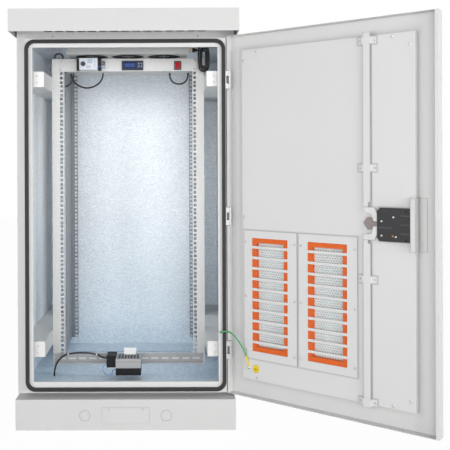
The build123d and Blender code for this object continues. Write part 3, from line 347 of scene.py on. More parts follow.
def shaded_paint(name, colour, raised, reach, depth):
    """Powder coat with painted shade: it darkens towards raised pieces on the door, given as spans along and
    up it.
    """
    paint = Finish(name)
    along, out, z = paint.door_axes()
    peel, drift = paint_film(paint)
    shades = []
    for left, right, low, high in raised:
        side = (left - along).at_least(along - right).at_least(0.0)
        rise = (low - z).at_least(z - high).at_least(0.0)
        shades.append(1.0 - (side * side + rise * rise) ** 0.5 / reach)
    # Painted shade: within reach of each raised piece the coat darkens towards it, on the door's inner side
    # only, standing in for the shade the piece casts
    shade = largest(shades).at_least(0.0) * (out > DOOR_BACK)
    dark = tuple(c * depth for c in colour)
    toned = paint.blend(shade * shade, paint.tint(colour, drift, 0.03), dark)
    return paint_surface(paint, toned, peel, drift)


def edge_shade_paint(name, colour, plates, depth):
    """Powder coat with a line of painted shade along the folded edge of each plate on the door."""
    paint = Finish(name)
    along, _, z = paint.door_axes()
    peel, drift = paint_film(paint)
    middles = [
        along.between(left + EDGE_LINE, right - EDGE_LINE) * z.between(low + EDGE_LINE, high - EDGE_LINE)
        for left, right, low, high in plates
    ]
    # Painted shade: a band one EDGE_LINE wide round each plate is darkened, standing in for the shade on its
    # folded edge
    dark = tuple(c * depth for c in colour)
    toned = paint.blend(largest(middles), dark, paint.tint(colour, drift, 0.03))
    return paint_surface(paint, toned, peel, drift)


def stucco_foil(name, colour, foot_colour, emboss_strength, metal):
    """Embossed aluminium foil: rounded dimples, bright cells of painted glint, faint creases and a bluer tone
    low down from a painted reflection.
    """
    foil = Finish(name)
    x, _, z = foil.axes()
    level = foil.stretched((0.7, 0.7, 1.4))
    dimples = foil.cells(230.0, "SMOOTH_F1", 0.4, level)
    crease = foil.noise(6.0, 2.0, 0.5)
    # Painted glint: each dimple cell takes its own lighter or darker tone, standing in for the sparkle of
    # light off the embossing
    sparkle = foil.cell_tone(220.0, level)
    tone = sparkle * 0.8 + crease * 0.2
    emboss = foil.relief(dimples, emboss_strength, 0.0016)
    side_wall = abs(x) > FOIL_SIDE
    # Painted reflection: below FOIL_CLEAR the colour turns to the bluer foot colour
    height = ((z - FOIL_FOOT) / (FOIL_CLEAR - FOIL_FOOT)).at_least(0.0).at_most(1.0)
    upper = foil.tint(colour, tone, 0.16)
    lower = foil.tint(foot_colour, tone, 0.16)
    return foil.surface(
        Base_Color=foil.blend(height, lower, upper),
        Metallic=metal - side_wall * (metal - 0.10),
        Roughness=0.48 + sparkle * 0.18,
        Normal=foil.relief(crease, 0.02, 0.004, emboss),
    )


def zinc_sheet(name, colour, metal, spangle):
    """Zinc-coated sheet: faint crystal spangle and rolling lines along the height."""
    zinc = Finish(name)
    crystal = zinc.cell_tone(95.0)
    rolling = zinc.noise(60.0, 3.0, 0.6, zinc.stretched((9.0, 9.0, 0.35)))
    tone = crystal * 0.5 + rolling * 0.5
    return zinc.surface(
        Base_Color=zinc.tint(colour, tone, spangle),
        Metallic=metal,
        Roughness=0.36 + crystal * 0.10 + rolling * 0.06,
        Normal=zinc.relief(rolling, 0.06, 0.0005),
    )


def bright_zinc(name, colour):
    """Small plated pieces: a fine grain and a clear bright finish."""
    plate = Finish(name)
    grain = plate.noise(900.0, 2.0)
    return plate.surface(
        Base_Color=plate.tint(colour, grain, 0.10), Metallic=0.9, Roughness=0.20 + grain * 0.14,
    )


def moulded_plastic(name, colour, grain=2600.0, gloss=0.48):
    """Moulded plastic: a spark-eroded grain and faint flow marks."""
    plastic = Finish(name)
    texture = plastic.noise(grain, 2.0, 0.6)
    flow = plastic.noise(38.0, 3.0)
    return plastic.surface(
        Base_Color=plastic.tint(colour, flow, 0.10),
        Specular_IOR_Level=0.25,
        Roughness=gloss + texture * 0.14,
        Normal=plastic.relief(texture, 0.16, 0.0003),
    )


def sponge_rubber(name, colour):
    """Closed-cell rubber: pores, a worn skin and a little bloom."""
    rubber = Finish(name)
    pores = rubber.cells(1600.0)
    bloom = rubber.noise(26.0, 4.0)
    return rubber.surface(
        Base_Color=rubber.tint(colour, bloom, 0.22),
        Roughness=0.58 + bloom * 0.16,
        Normal=rubber.relief(pores, 0.25, 0.0004),
    )


def cable_jacket(name, colour, sleeve=None):
    """Cable jacket: faint lay marks along the wire, with a coloured sleeve at its far end where given."""
    jacket = Finish(name)
    marks = jacket.noise(420.0, 2.0)
    colour_now = jacket.tint(colour, marks, 0.16)
    if sleeve is not None:
        uv = jacket.node("ShaderNodeUVMap", {"uv_map": "Along"}).outputs[0]
        along = jacket.axes(uv)[1]
        colour_now = jacket.blend(along > 0.86, colour_now, sleeve)
    return jacket.surface(
        Base_Color=colour_now, Roughness=0.42 + marks * 0.12, Normal=jacket.relief(marks, 0.10, 0.0002),
    )


def filter_fleece(name, thread, gap, outer_shade, middle):
    """Filter mat behind a honeycomb mesh: staggered openings, fibres, upright folds and an outside darkened
    by painted shade.
    """
    fleece = Finish(name)
    x, y, z = fleece.axes()
    along = x * DOOR_ALONG[0] + y * DOOR_ALONG[1]
    hole = honeycomb(along / MESH_PITCH[0], z / MESH_PITCH[1]) < 0.36
    fibres = fleece.noise(520.0, 4.0, 0.7)
    folds = fleece.noise(9.0, 2.0, 0.5, fleece.stretched((3.0, 3.0, 0.25)))
    tone = fibres * 0.4 + folds * 0.6
    inside = fleece.tint(gap, tone, 0.30)
    outside = fleece.tint(thread, tone, 0.20)
    shaded_outer = fleece.tint(outer_shade, tone, 0.30)
    # Painted shade: the mat's outer side takes the darker colour, standing in for the shadow of the mesh
    outer = fleece.door_axes()[1] < middle
    return fleece.surface(
        Base_Color=fleece.blend(outer, fleece.blend(hole, outside, inside), shaded_outer),
        Roughness=0.86,
        Normal=fleece.relief(fibres * 0.4 + (1.0 - hole), 0.5, 0.0016),
    )


def module_face(name, low, high):
    """Front of the small power module: pale case, grey-blue label fields and a column of dots."""
    face = Finish(name)
    across, rise = face.shares(low, high)
    grain = face.noise(1800.0, 2.0)
    case = face.tint(linear(206, 210, 217), grain, 0.04)
    upper = across.between(0.46, 0.74) * rise.between(0.55, 0.90)
    lower = across.between(0.40, 0.62) * rise.between(0.14, 0.36)
    stripe = across.between(0.46, 0.74) * rise.between(0.70, 0.73)
    fields = face.blend((upper + lower).at_most(1.0), case, linear(164, 176, 196))
    fields = face.blend(stripe, fields, linear(206, 210, 217))
    column = abs(across - 0.86) < 0.025
    dots = (rise * 6.0) % 1.0
    spots = column * dots.between(0.35, 0.65) * rise.between(0.15, 0.85)
    return face.surface(
        Base_Color=face.blend(spots, fields, linear(70, 76, 90)),
        Roughness=0.42 + grain * 0.12,
        Normal=face.relief(grain, 0.10, 0.0003),
    )


def liquid_crystal(name, low, high):
    """Blue display: lit field, darker border and two rows of blank character cells."""
    screen = Finish(name)
    across, rise = screen.shares(low, high)
    field = across.between(0.05, 0.95) * rise.between(0.08, 0.92)
    cell = ((across * 9.0) % 1.0).between(0.18, 0.82)
    rows = rise.between(0.24, 0.42) + rise.between(0.58, 0.76)
    ink = field * cell * rows
    glow = screen.noise(40.0, 2.0)
    lit = screen.tint(linear(28, 52, 118), glow, 0.14)
    colour = screen.blend(field, linear(20, 26, 46), lit)
    return screen.surface(
        Base_Color=screen.blend(ink * 0.30, colour, linear(150, 176, 226)),
        Roughness=0.30,
        Specular_IOR_Level=0.10,
    )


def earth_plate(name, centre):
    """Yellow disc with the plain earth sign: a ring, a stem and three bars that grow shorter."""
    plate = Finish(name)
    x, y, z = plate.axes()
    along = (x - centre[0]) * DOOR_ALONG[0] + (y - centre[1]) * DOOR_ALONG[1]
    rise = z - centre[2]
    radius = (along * along + rise * rise) ** 0.5
    ring = radius.between(10.8 * MM, 11.6 * MM)
    stem = (abs(along) < 0.6 * MM) * rise.between(0.0, 7.0 * MM)
    bars = [(abs(along) < half) * rise.between(foot, top) for half, foot, top in EARTH_BARS]
    grain = plate.noise(1500.0, 2.0)
    yellow = plate.tint(linear(236, 205, 20), grain, 0.05)
    return plate.surface(
        Base_Color=plate.blend(largest([ring, stem, *bars]), yellow, linear(40, 36, 20)),
        Roughness=0.38 + grain * 0.1,
    )


def lock_enamel(name, colour, spot, span, spot_place):
    """Black lock case: fine enamel, pressed lines with painted highlights, notches painted near black as
    shade, and a small brass spot.
    """
    enamel = Finish(name)
    along, _, z = enamel.door_axes()
    grain = enamel.noise(1500.0, 3.0)
    left, right, low, high = span
    across = (along - left) / (right - left)
    rise = (z - low) / (high - low)
    # Painted highlights: the pressed lines are drawn in a lighter grey, standing in for light catching their
    # edges
    pressed = [across.between(0.06, 0.44) * rise.between(0.400, 0.420)]
    for foot in (0.240, 0.505, 0.770):
        pressed.append(across.between(0.68, 0.98) * rise.between(foot, foot + 0.022))
    lines = largest(pressed)
    # Painted shade: the notches are drawn near black, standing in for the shade inside them
    corners = (abs(across - 0.88) < 0.035) * largest([abs(rise - height) < 0.035 for height in (0.06, 0.90)])
    radius = ((across - spot_place[0]) ** 2.0 + (rise - spot_place[1]) ** 2.0) ** 0.5
    body = enamel.blend(lines, enamel.tint(colour, grain, 0.2), linear(86, 86, 88))
    body = enamel.blend(corners, body, linear(8, 8, 9))
    return enamel.surface(
        Base_Color=enamel.blend(radius < 0.03, body, spot),
        Roughness=0.40 + grain * 0.12,
        Specular_IOR_Level=0.30,
        Normal=enamel.relief(grain + lines * 2.0 - corners * 3.0, 0.12, 0.0003),
    )


def heater_shell(name, colour, low, high):
    """Heater case: brushed aluminium, two groups of vents on its top and a fold line in front, both painted
    dark as shade.
    """
    shell = Finish(name)
    x, y, z = shell.axes()
    brushed = shell.noise(40.0, 3.0, 0.6, shell.stretched((1.0, 60.0, 60.0)))
    radius = honeycomb((x - low[0]) / VENT_PITCH[0], (y - low[1]) / VENT_PITCH[1])
    share = shell.shares(low, high)[0]
    groups = share.between(0.07, 0.46) + share.between(0.54, 0.93)
    rim = groups * y.between(low[1] + 8.0 * MM, high[1] - 8.0 * MM)
    # Painted shade: the vent holes are drawn near black and the fold line half as dark, standing in for the
    # shade inside the holes and in the fold
    vents = (radius < 0.40) * rim * (z > high[2] - 0.6 * MM)
    fold = (y < low[1] + 0.6 * MM) * (abs(z - (0.30 * low[2] + 0.70 * high[2])) < 0.8 * MM)
    dark = vents.at_least(fold * 0.5)
    return shell.surface(
        Base_Color=shell.blend(dark, shell.tint(colour, brushed, 0.10), (0.02, 0.02, 0.022)),
        Metallic=0.6 - vents * 0.6,
        Roughness=0.34 + brushed * 0.12,
        Normal=shell.relief(vents * -1.0, 0.4, 0.0008),
    )


def coat(material, *nodes):
    """Gives one finish to each named node of the frame."""
    for node in nodes:
        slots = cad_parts[node].data.materials
        slots.clear()
        slots.append(material)


def solids(node):
    """Corner points of each separate solid of a node: corners joined by edges take the lowest label."""
    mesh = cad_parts[node].data
    places = np.empty(3 * len(mesh.vertices), dtype=np.float32)
    mesh.vertices.foreach_get("co", places)
    ends = np.empty(2 * len(mesh.edges), dtype=np.int32)
    mesh.edges.foreach_get("vertices", ends)
    corners, same = np.unique(places.reshape(-1, 3).round(5), axis=0, return_inverse=True)
    ends = same.ravel()[ends].reshape(-1, 2)
    label = np.arange(len(corners))
    settled = False
    while not settled:
        lowest = label[ends].min(axis=1)
        lower = label.copy()
        np.minimum.at(lower, ends[:, 0], lowest)
        np.minimum.at(lower, ends[:, 1], lowest)
        settled = np.array_equal(lower, label)
        label = lower
    return [corners[label == kind] for kind in np.unique(label)]


def door_spans(*nodes):
    """Spans along and up the door of every solid of the nodes, by projection on the door's direction."""
    spans = []
    for node in nodes:
        for corners in solids(node):
            along = (corners[:, :2] - np.array(DOOR_AXIS)) @ np.array(DOOR_ALONG)
            ends = (along.min(), along.max(), corners[:, 2].min(), corners[:, 2].max())
            spans.append(tuple(float(end) for end in ends))
    return spans


def placed(name, data):
    """A new object of the scene, at the origin."""
    made = bpy.data.objects.new(name, data)
    bpy.context.scene.collection.objects.link(made)
    return made


def circle(sides):
    """Angles evenly round a circle."""
    return np.linspace(0.0, TAU, sides, endpoint=False)


def mesh_object(name, points, faces, material):
    """A smooth mesh object from an array of points and an array of four-cornered faces."""
    mesh = bpy.data.meshes.new(name)
    mesh.from_pydata(points.reshape(-1, 3).tolist(), [], faces.tolist())
    mesh.polygons.foreach_set("use_smooth", np.ones(len(faces), dtype=bool))
    mesh.materials.append(material)
    mesh.update()
    return placed(name, mesh)


def grid_faces(index):
    """Faces between the neighbours of an index grid, or of several stacked grids."""
    corners = (index[..., :-1, :-1], index[..., :-1, 1:], index[..., 1:, 1:], index[..., 1:, :-1])
    return np.stack(corners, axis=-1).reshape(-1, 4)


def grid_mesh(name, points, material, closed_u=False, closed_v=False):
    """Makes a mesh from a rows x columns array of points, with faces between neighbours."""
    rows, columns = points.shape[:2]
    index = np.arange(rows * columns).reshape(rows, columns)
    if closed_u:
        index = np.vstack((index, index[:1]))
    if closed_v:
        index = np.hstack((index, index[:, :1]))
    return mesh_object(name, points, grid_faces(index), material)


def screw_heads(name, node, along, outward, material):
    """Domed heads with a driver recess: one given outline turned about the axis of each screw."""
    out_share = np.array((1.0, 0.98, 0.86, 0.62, 0.36, 0.30, 0.0))
    rise_share = np.array((0.0, 0.40, 0.74, 0.93, 1.0, 0.55, 0.50))
    angle = circle(HEAD_SIDES)
    heads = []
    for corners in solids(node):
        depth = corners[:, :2] @ np.array(outward)
        side = corners[:, :2] @ np.array(along)
        low, high = corners[:, 2].min(), corners[:, 2].max()
        radius = out_share[:, None] * (high - low) / 2.0
        reach = depth.min() + rise_share[:, None] * (depth.max() - depth.min()) + 0.0 * angle
        across = (side.min() + side.max()) / 2.0 + radius * np.cos(angle)
        plan = across[..., None] * np.array(along) + reach[..., None] * np.array(outward)
        height = (low + high) / 2.0 + radius * np.sin(angle)
        heads.append(np.concatenate((plan, height[..., None]), axis=-1))
    points = np.stack(heads)
    index = np.arange(points[..., 0].size).reshape(points.shape[:3])
    index = np.concatenate((index, index[..., :1]), axis=2)
    made = mesh_object(name, points, grid_faces(index), material)
    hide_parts(node)
    return made


def wire_curve(name, points, radius, material):
    """A wire as a NURBS spline along its control points, with a round section."""
    curve = bpy.data.curves.new(name, "CURVE")
    curve.dimensions = "3D"
    curve.resolution_u = 10
    spline = curve.splines.new("NURBS")
    spline.points.add(len(points) - 1)
    spline.points.foreach_set("co", np.hstack((np.array(points), np.ones((len(points), 1)))).ravel())
    spline.order_u = 3
    spline.use_endpoint_u = True
    curve.bevel_depth = radius
    curve.bevel_resolution = 4
    curve.use_fill_caps = True
    if material is not None:
        curve.materials.append(material)
    return placed(name, curve)


def centreline(points):
    """The points along a wire's spline, read from a curve that has no section."""
    bare = wire_curve("bare_route", points, 0.0, None)
    bpy.context.view_layer.update()
    graph = bpy.context.evaluated_depsgraph_get()
    mesh = bpy.data.meshes.new_from_object(bare.evaluated_get(graph))
    line = np.zeros(len(mesh.vertices) * 3)
    mesh.vertices.foreach_get("co", line)
    curve = bare.data
    bpy.data.objects.remove(bare)
    bpy.data.curves.remove(curve)
    bpy.data.meshes.remove(mesh)
    return line.reshape(-1, 3)


def run_length(line):
    """Length of a line of points: the sum of its steps."""
    return float(np.linalg.norm(np.diff(line, axis=0), axis=1).sum())


def tube_points(line, radius):
    """A tube: each point of the line plus a circle in the plane across the line's direction."""
    ahead = np.gradient(line, axis=0)
    ahead /= np.linalg.norm(ahead, axis=1, keepdims=True)
    side = np.cross(ahead, np.array((0.25, 0.93, 0.27)))
    side /= np.linalg.norm(side, axis=1, keepdims=True)
    over = np.cross(side, ahead)
    turn = circle(TUBE_SIDES)[None, :, None]
    ring = np.cos(turn) * side[:, None, :] + np.sin(turn) * over[:, None, :]
    return line[:, None, :] + radius * ring


def lay_wire(name, points, radius, material, node=None):
    """Lays one wire whose two ends go into the cabinet, in place of its solid where it has one."""
    wire = wire_curve(name, points, radius, material)
    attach(wire, "cabinet")
    if node is not None:
        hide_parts(node)
    length = run_length(centreline(points))


def colour_property(name, description, *levels):
    """A colour whose default is given in display levels."""
    return bpy.props.FloatVectorProperty(
        name=name, description=description, subtype="COLOR", size=3,
        default=linear(*levels), min=0.0, max=1.0,
    )


def radius_property(name, description, radius):
    """A length whose default is given in metres."""
    return bpy.props.FloatProperty(name=name, description=description, default=radius, unit="LENGTH")


def power_property(name, description, watts):
    """A lamp's power in watts."""
    return bpy.props.FloatProperty(name=name, description=description, default=watts, unit="POWER")


class CabinetFinishes(bpy.types.PropertyGroup):
    """Colours of the cabinet's main finishes."""

    paint: colour_property("Paint", "Powder coat of the body and door", 208, 208, 207)
    # Roof and plinth: darker copies of the white powder coat, painted shade that makes them darker than the
    # body
    roof: colour_property("Roof", "Powder coat of the roof cap", 196, 196, 195)
    plinth: colour_property("Plinth", "Powder coat of the plinth", 194, 194, 193)
    foil: colour_property("Foil", "Embossed foil of the lining", 235, 242, 251)
    # Lining foot and foil floor: bluer colours that carry a painted blue reflection
    foil_foot: colour_property("Lining foot", "Foil of the lining close to the floor", 226, 237, 253)
    foil_floor: colour_property("Foil floor", "Foil on the floor of the cabinet", 216, 232, 255)
    zinc: colour_property("Zinc sheet", "Front rails and the cross bar", 198, 198, 197)
    rubber: colour_property("Rubber", "Door seal", 24, 24, 26)
    filter_frame: colour_property("Filter frame", "Moulded frames of the filters", 212, 96, 36)


class CabinetWires(bpy.types.PropertyGroup):
    """Sizes of the wires."""

    cable_radius: radius_property("Cable radius", "Black cables in the cabinet", 3.0 * MM)
    earth_radius: radius_property("Earth wire radius", "Green wire to the door", 2.5 * MM)
    lead_radius: radius_property("Lead radius", "Thin leads of the small devices", 1.3 * MM)
    hank_radius: radius_property("Spare cord radius", "Cord of the hanging hank", 2.4 * MM)


class CabinetStage(bpy.types.PropertyGroup):
    """Light and camera of the studio."""

    key_power: power_property("Key light", "Lamp in front on the left", 57.0)
    right_power: power_property("Right light", "Lamp in front on the door's side", 98.0)
    front_power: power_property("Front light", "Large lamp that looks into the cabinet", 122.0)
    lining_power: power_property("Lining light", "Small lamp under the ceiling", 0.7)
    left_wall_power: power_property("Left wall light", "Lamp on the left lining", 0.26)
    right_wall_power: power_property("Right wall light", "Lamp on the right lining", 0.9)
    fill: bpy.props.FloatProperty(
        name="Fill", description="Strength of the even light all round", default=0.38, min=0.0,
    )
    lens: bpy.props.FloatProperty(
        name="Lens", description="Focal length of the camera in millimetres", default=61.23, min=1.0,
    )


def settings():
    scene = bpy.context.scene
    return scene.cabinet_finishes, scene.cabinet_wires, scene.cabinet_stage


class CABINET_OT_shell(bpy.types.Operator):
    """Paint the plinth, body, roof, front frame and door, and fit the seal"""

    bl_idname = "cabinet.shell"
    bl_label = "Shell and Door"

    knock_outs = ((-0.130, 0.047), (0.130, 0.047))
    knock_out_radius = 0.0170
    link_height = 0.0400
    angle_flange = 0.0145
    door_shade_reach = 26.0 * MM
    panel_shade_reach = 7.0 * MM

    def execute(self, context):
        finishes = settings()[0]
        colour = tuple(finishes.paint)
        paint = powder_coat("white_powder_coat", colour)
        coat(paint, "body_shell", "front_frame", "header_strip", "floor_plate")
        # The roof cap takes its darker copy of the white coat: painted shade
        coat(powder_coat("roof_powder_coat", tuple(finishes.roof)), "roof_cap")
        panel = door_spans("inner_panel")
        covers = door_spans("filter_covers")
        guides = door_spans("rod_guides")
        rods, links = self.rod_spans(guides)
        fixed = covers + rods + guides + door_spans("lock_case")
        # Door skin and inner panel: painted shade round the inner panel, and round the covers, rods, guides
        # and lock
        coat(shaded_paint("door_powder_coat", colour, panel, self.door_shade_reach, 0.80), "door_skin")
        coat(shaded_paint("panel_powder_coat", colour, fixed, self.panel_shade_reach, 0.62), "inner_panel")
        # Covers, rods, links and guides: lines of painted shade along their folded edges
        coat(edge_shade_paint("cover_coat", colour, covers, 0.72), "filter_covers")
        rod_paint = edge_shade_paint("rod_coat", colour, rods + links + guides, 0.74)
        coat(rod_paint, "upper_rod", "lower_rod", "rod_guides")
        # The plinth and access cover take the darker plinth copy of the white coat: painted shade
        grey = tuple(finishes.plinth)
        # Plinth knock-outs and access cover: thin lines of painted shade
        coat(score_shade_paint("plinth_powder_coat", grey, self.knock_outs, self.knock_out_radius), "plinth")
        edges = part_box("access_cover")
        coat(score_shade_paint("cover_powder_coat", grey, (), self.knock_out_radius, edges), "access_cover")
        coat(sponge_rubber("seal_rubber", tuple(finishes.rubber)), "door_seal")
        hinge = zinc_sheet("hinge_zinc", linear(200, 200, 199), 0.3, 0.05)
        coat(hinge, "hinge_frame_leaves", "hinge_door_leaves")
        # Lock angle: lines of painted shade along the edges of both flanges
        left, right, low, high = door_spans("lock_angle")[0]
        fold = left + self.angle_flange
        flanges = [(left, fold, low, high), (fold, right, low, high)]
        coat(edge_shade_paint("angle_coat", linear(204, 204, 203), flanges, 0.74), "lock_angle")
        return {"FINISHED"}

    def rod_spans(self, guides):
        """Spans of the two rods, centred in their guides, and of the links at their inner ends."""
        middle = (guides[0][0] + guides[0][1]) / 2.0
        upper, lower = door_spans("upper_rod", "lower_rod")
        rods = [
            (upper[0], 2.0 * middle - upper[0], upper[2] + self.link_height, upper[3]),
            (lower[0], 2.0 * middle - lower[0], lower[2], lower[3] - self.link_height),
        ]
        links = [
            (upper[0], upper[1], upper[2], upper[2] + self.link_height),
            (lower[0], lower[1], lower[3] - self.link_height, lower[3]),
        ]
        return rods, links


class CABINET_OT_lining(bpy.types.Operator):
    """Face the inside with embossed foil"""

    bl_idname = "cabinet.lining"
    bl_label = "Foil Lining"

    def execute(self, context):
        finishes = settings()[0]
        # The foot and floor colours carry a painted blue reflection
        upper, foot, floor = tuple(finishes.foil), tuple(finishes.foil_foot), tuple(finishes.foil_floor)
        coat(stucco_foil("embossed_foil", upper, foot, emboss_strength=0.80, metal=0.68), "foil_lining")
        coat(stucco_foil("floor_foil", floor, floor, emboss_strength=0.10, metal=0.10), "floor_lining")
        return {"FINISHED"}


class CABINET_OT_rack(bpy.types.Operator):
    """Coat the rack rails, brackets and bars with zinc, and fit the screw heads"""

    bl_idname = "cabinet.rack"
    bl_label = "Rack Rails"

    def execute(self, context):
        finishes = settings()[0]
        zinc = zinc_sheet("rail_zinc", tuple(finishes.zinc), 0.25, 0.05)
        coat(zinc, "front_rails", "cross_bar")
        coat(zinc_sheet("hat_rail_zinc", linear(158, 159, 160), 0.5, 0.08), "hat_rail")
        coat(zinc_sheet("rear_rail_zinc", linear(138, 141, 146), 0.3, 0.06), "rear_rails")
        coat(zinc_sheet("bracket_zinc", linear(210, 210, 209), 0.2, 0.04), "rail_supports")
        bright = bright_zinc("screw_zinc", linear(196, 195, 192))
        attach(screw_heads("body_screw_heads", "body_fasteners", (1.0, 0.0), (0.0, -1.0), bright), "cabinet")
        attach(screw_heads("door_screw_heads", "door_screws", DOOR_ALONG, DOOR_NORMAL, bright), "door")
        return {"FINISHED"}


class CABINET_OT_fans(bpy.types.Operator):
    """Finish the roof fan tray and its fans"""

    bl_idname = "cabinet.fans"
    bl_label = "Roof Fans"

    def execute(self, context):
        coat(zinc_sheet("tray_zinc", linear(170, 170, 169), 0.35, 0.05), "fan_tray")
        black = moulded_plastic("fan_black", linear(34, 34, 37))
        coat(black, "fan_frames", "fan_rotor_left", "fan_rotor_middle", "fan_rotor_right")
        return {"FINISHED"}


class CABINET_OT_controls(bpy.types.Operator):
    """Finish the control panel, its module, controller and rocker, and add the module's leads"""

    bl_idname = "cabinet.controls"
    bl_label = "Control Panel"

    lead_heights = (1.2040, 1.1985, 1.1930, 1.1835)

    def execute(self, context):
        wires = settings()[1]
        coat(zinc_sheet("panel_zinc", linear(188, 188, 187), 0.3, 0.05), "control_panel")
        coat(module_face("module_case", *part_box("module_body")), "module_body")
        coat(moulded_plastic("terminal_black", linear(38, 38, 42)), "module_terminals", "rocker_bezel")
        coat(moulded_plastic("knob_slate", linear(62, 68, 80), 1500.0), "module_knob")
        coat(moulded_plastic("controller_slate", linear(46, 53, 68)), "controller_case")
        coat(liquid_crystal("controller_screen", *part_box("controller_display")), "controller_display")
        keys = moulded_plastic("key_grey", linear(128, 136, 150))
        coat(keys, *(f"controller_key_{number}" for number in range(1, 5)))
        coat(moulded_plastic("rocker_red", linear(168, 30, 38), 1600.0, 0.24), "rocker_switch")
        low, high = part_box("module_terminals")
        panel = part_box("control_panel")[0][1]
        dark = cable_jacket("lead_slate", linear(58, 66, 82))
        blue = cable_jacket("lead_blue", linear(70, 140, 200))
        start = high[0] - 10.0 * MM
        front = low[1]
        for number, height in enumerate(self.lead_heights):
            route = (
                (start, front, height), (start + 2.0 * MM, front - 7.0 * MM, height),
                (start + 12.0 * MM, front - 9.0 * MM, height - 0.5 * MM),
                (start + 20.0 * MM, front - 4.0 * MM, height - 1.0 * MM),
                (start + 22.0 * MM, panel, height - 1.0 * MM),
            )
            jacket = blue if number == len(self.lead_heights) - 1 else dark
            lay_wire(f"module_lead_{number + 1}", route, wires.lead_radius, jacket)
        return {"FINISHED"}


class CABINET_OT_heater(bpy.types.Operator):
    """Finish the heater, its fan, terminal block and clip, and add its blue lead"""

    bl_idname = "cabinet.heater"
    bl_label = "Heater"

    lead_depth = -0.172

    def execute(self, context):
        wires = settings()[1]
        coat(heater_shell("heater_aluminium", linear(166, 167, 169), *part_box("heater_body")), "heater_body")
        black = moulded_plastic("heater_black", linear(16, 16, 18))
        coat(black, "heater_fan", "heater_rotor", "terminal_block")
        coat(moulded_plastic("clip_white", linear(226, 227, 228), 1500.0), "heater_clip")
        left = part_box("terminal_block")[0][0]
        fan_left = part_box("heater_fan")[0][0]
        depth = self.lead_depth
        route = (
            (left, depth, 0.162), (left - 13.0 * MM, depth, 0.159),
            (left - 15.0 * MM, depth - 2.0 * MM, 0.140),
            (left + 1.0 * MM, depth - 3.0 * MM, 0.124), (fan_left - 16.0 * MM, depth - 2.0 * MM, 0.126),
            (fan_left - 12.0 * MM, depth, 0.144), (fan_left, depth, 0.146),
        )
        blue = cable_jacket("heater_lead_blue", linear(92, 150, 205))
        lay_wire("heater_lead", route, wires.lead_radius, blue)
        return {"FINISHED"}


class CABINET_OT_door_fittings(bpy.types.Operator):
    """Finish the lock, latch, filters and earth point on the door"""

    bl_idname = "cabinet.door_fittings"
    bl_label = "Door Fittings"

    spot_place = (0.48, 0.17)

    def execute(self, context):
        finishes = settings()[0]
        black, brass = linear(44, 44, 46), linear(170, 120, 50)
        span = door_spans("lock_case")[0]
        coat(lock_enamel("lock_black", black, brass, span, self.spot_place), "lock_case")
        coat(zinc_sheet("latch_alloy", linear(126, 116, 115), 0.5, 0.10), "lock_latch")
        coat(moulded_plastic("filter_orange", tuple(finishes.filter_frame), 900.0), "filter_frames")
        corners = np.concatenate(solids("filter_mats"))
        depth = (corners[:, :2] - np.array(DOOR_AXIS)) @ np.array(DOOR_NORMAL)
        middle = float(depth.min() + depth.max()) / 2.0
        # The third colour is painted shade for the mats' outer side
        thread, gap, outer_shade = linear(216, 223, 224), linear(185, 191, 190), linear(104, 103, 100)
        coat(filter_fleece("filter_mesh", thread, gap, outer_shade, middle), "filter_mats")
        centre = tuple((a + b) / 2.0 for a, b in zip(*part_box("earth_disc")))
        coat(earth_plate("earth_yellow", centre), "earth_disc")
        coat(moulded_plastic("escutcheon_black", black, 1200.0), "key_escutcheon")
        return {"FINISHED"}


class CABINET_OT_wiring(bpy.types.Operator):
    """Lay the black cables, the small loops behind the rail and the earth wire to the door"""

    bl_idname = "cabinet.wiring"
    bl_label = "Wiring"

    tie_places = (-0.208, -0.112)
    tie_thick = 0.0012
    tie_wide = 0.0020

    def execute(self, context):
        wires = settings()[1]
        black = cable_jacket("cable_black", linear(30, 30, 32))
        solid_routes = {"left_cable": LEFT_CABLE, "right_cable": RIGHT_CABLE, "heater_cable": HEATER_CABLE}
        for node, route in solid_routes.items():
            lay_wire(f"{node}_wire", route, wires.cable_radius, black, node)
        lay_wire("rail_loop", RAIL_LOOP, wires.cable_radius, black)
        lay_wire("short_cable", SHORT_CABLE, wires.cable_radius, black)
        self.ties(wires.cable_radius)
        self.earth(wires.earth_radius)
        return {"FINISHED"}

    def ties(self, radius):
        """White ties: a flat band is a short rounded profile turned about the cable."""
        white = moulded_plastic("tie_white", linear(232, 233, 234), 1500.0)
        line = centreline(HEATER_CABLE)
        for number, across in enumerate(self.tie_places):
            middle = line[np.abs(line[:, 0] - across).argmin()]
            turn = circle(TIE_SIDES[0])
            around = circle(TIE_SIDES[1])
            reach = radius + self.tie_thick * (0.5 + 0.6 * np.cos(around))
            x = middle[0] + self.tie_wide * np.sin(around)[None, :] + 0.0 * turn[:, None]
            y = middle[1] + np.cos(turn)[:, None] * reach[None, :]
            z = middle[2] + np.sin(turn)[:, None] * reach[None, :]
            band = grid_mesh(f"cable_tie_{number + 1}", np.stack((x, y, z), axis=-1), white, True, True)
            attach(band, "cabinet")

    def earth(self, radius):
        """The earth wire is a tube that bends between the frame and the door."""
        line = centreline(EARTH_WIRE)
        green = cable_jacket("earth_green", linear(58, 150, 92), linear(232, 208, 40))
        tube = grid_mesh("earth_wire_tube", tube_points(line, radius), green, closed_v=True)
        rows, sides = len(line), TUBE_SIDES
        layer = tube.data.uv_layers.new(name="Along")
        corner = np.zeros(len(tube.data.loops), dtype=int)
        tube.data.loops.foreach_get("vertex_index", corner)
        along = np.stack((corner % sides / sides, corner // sides / (rows - 1)), axis=1)
        layer.data.foreach_set("uv", along.ravel().astype(np.float32))
        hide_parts("earth_wire")
        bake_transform(tube)


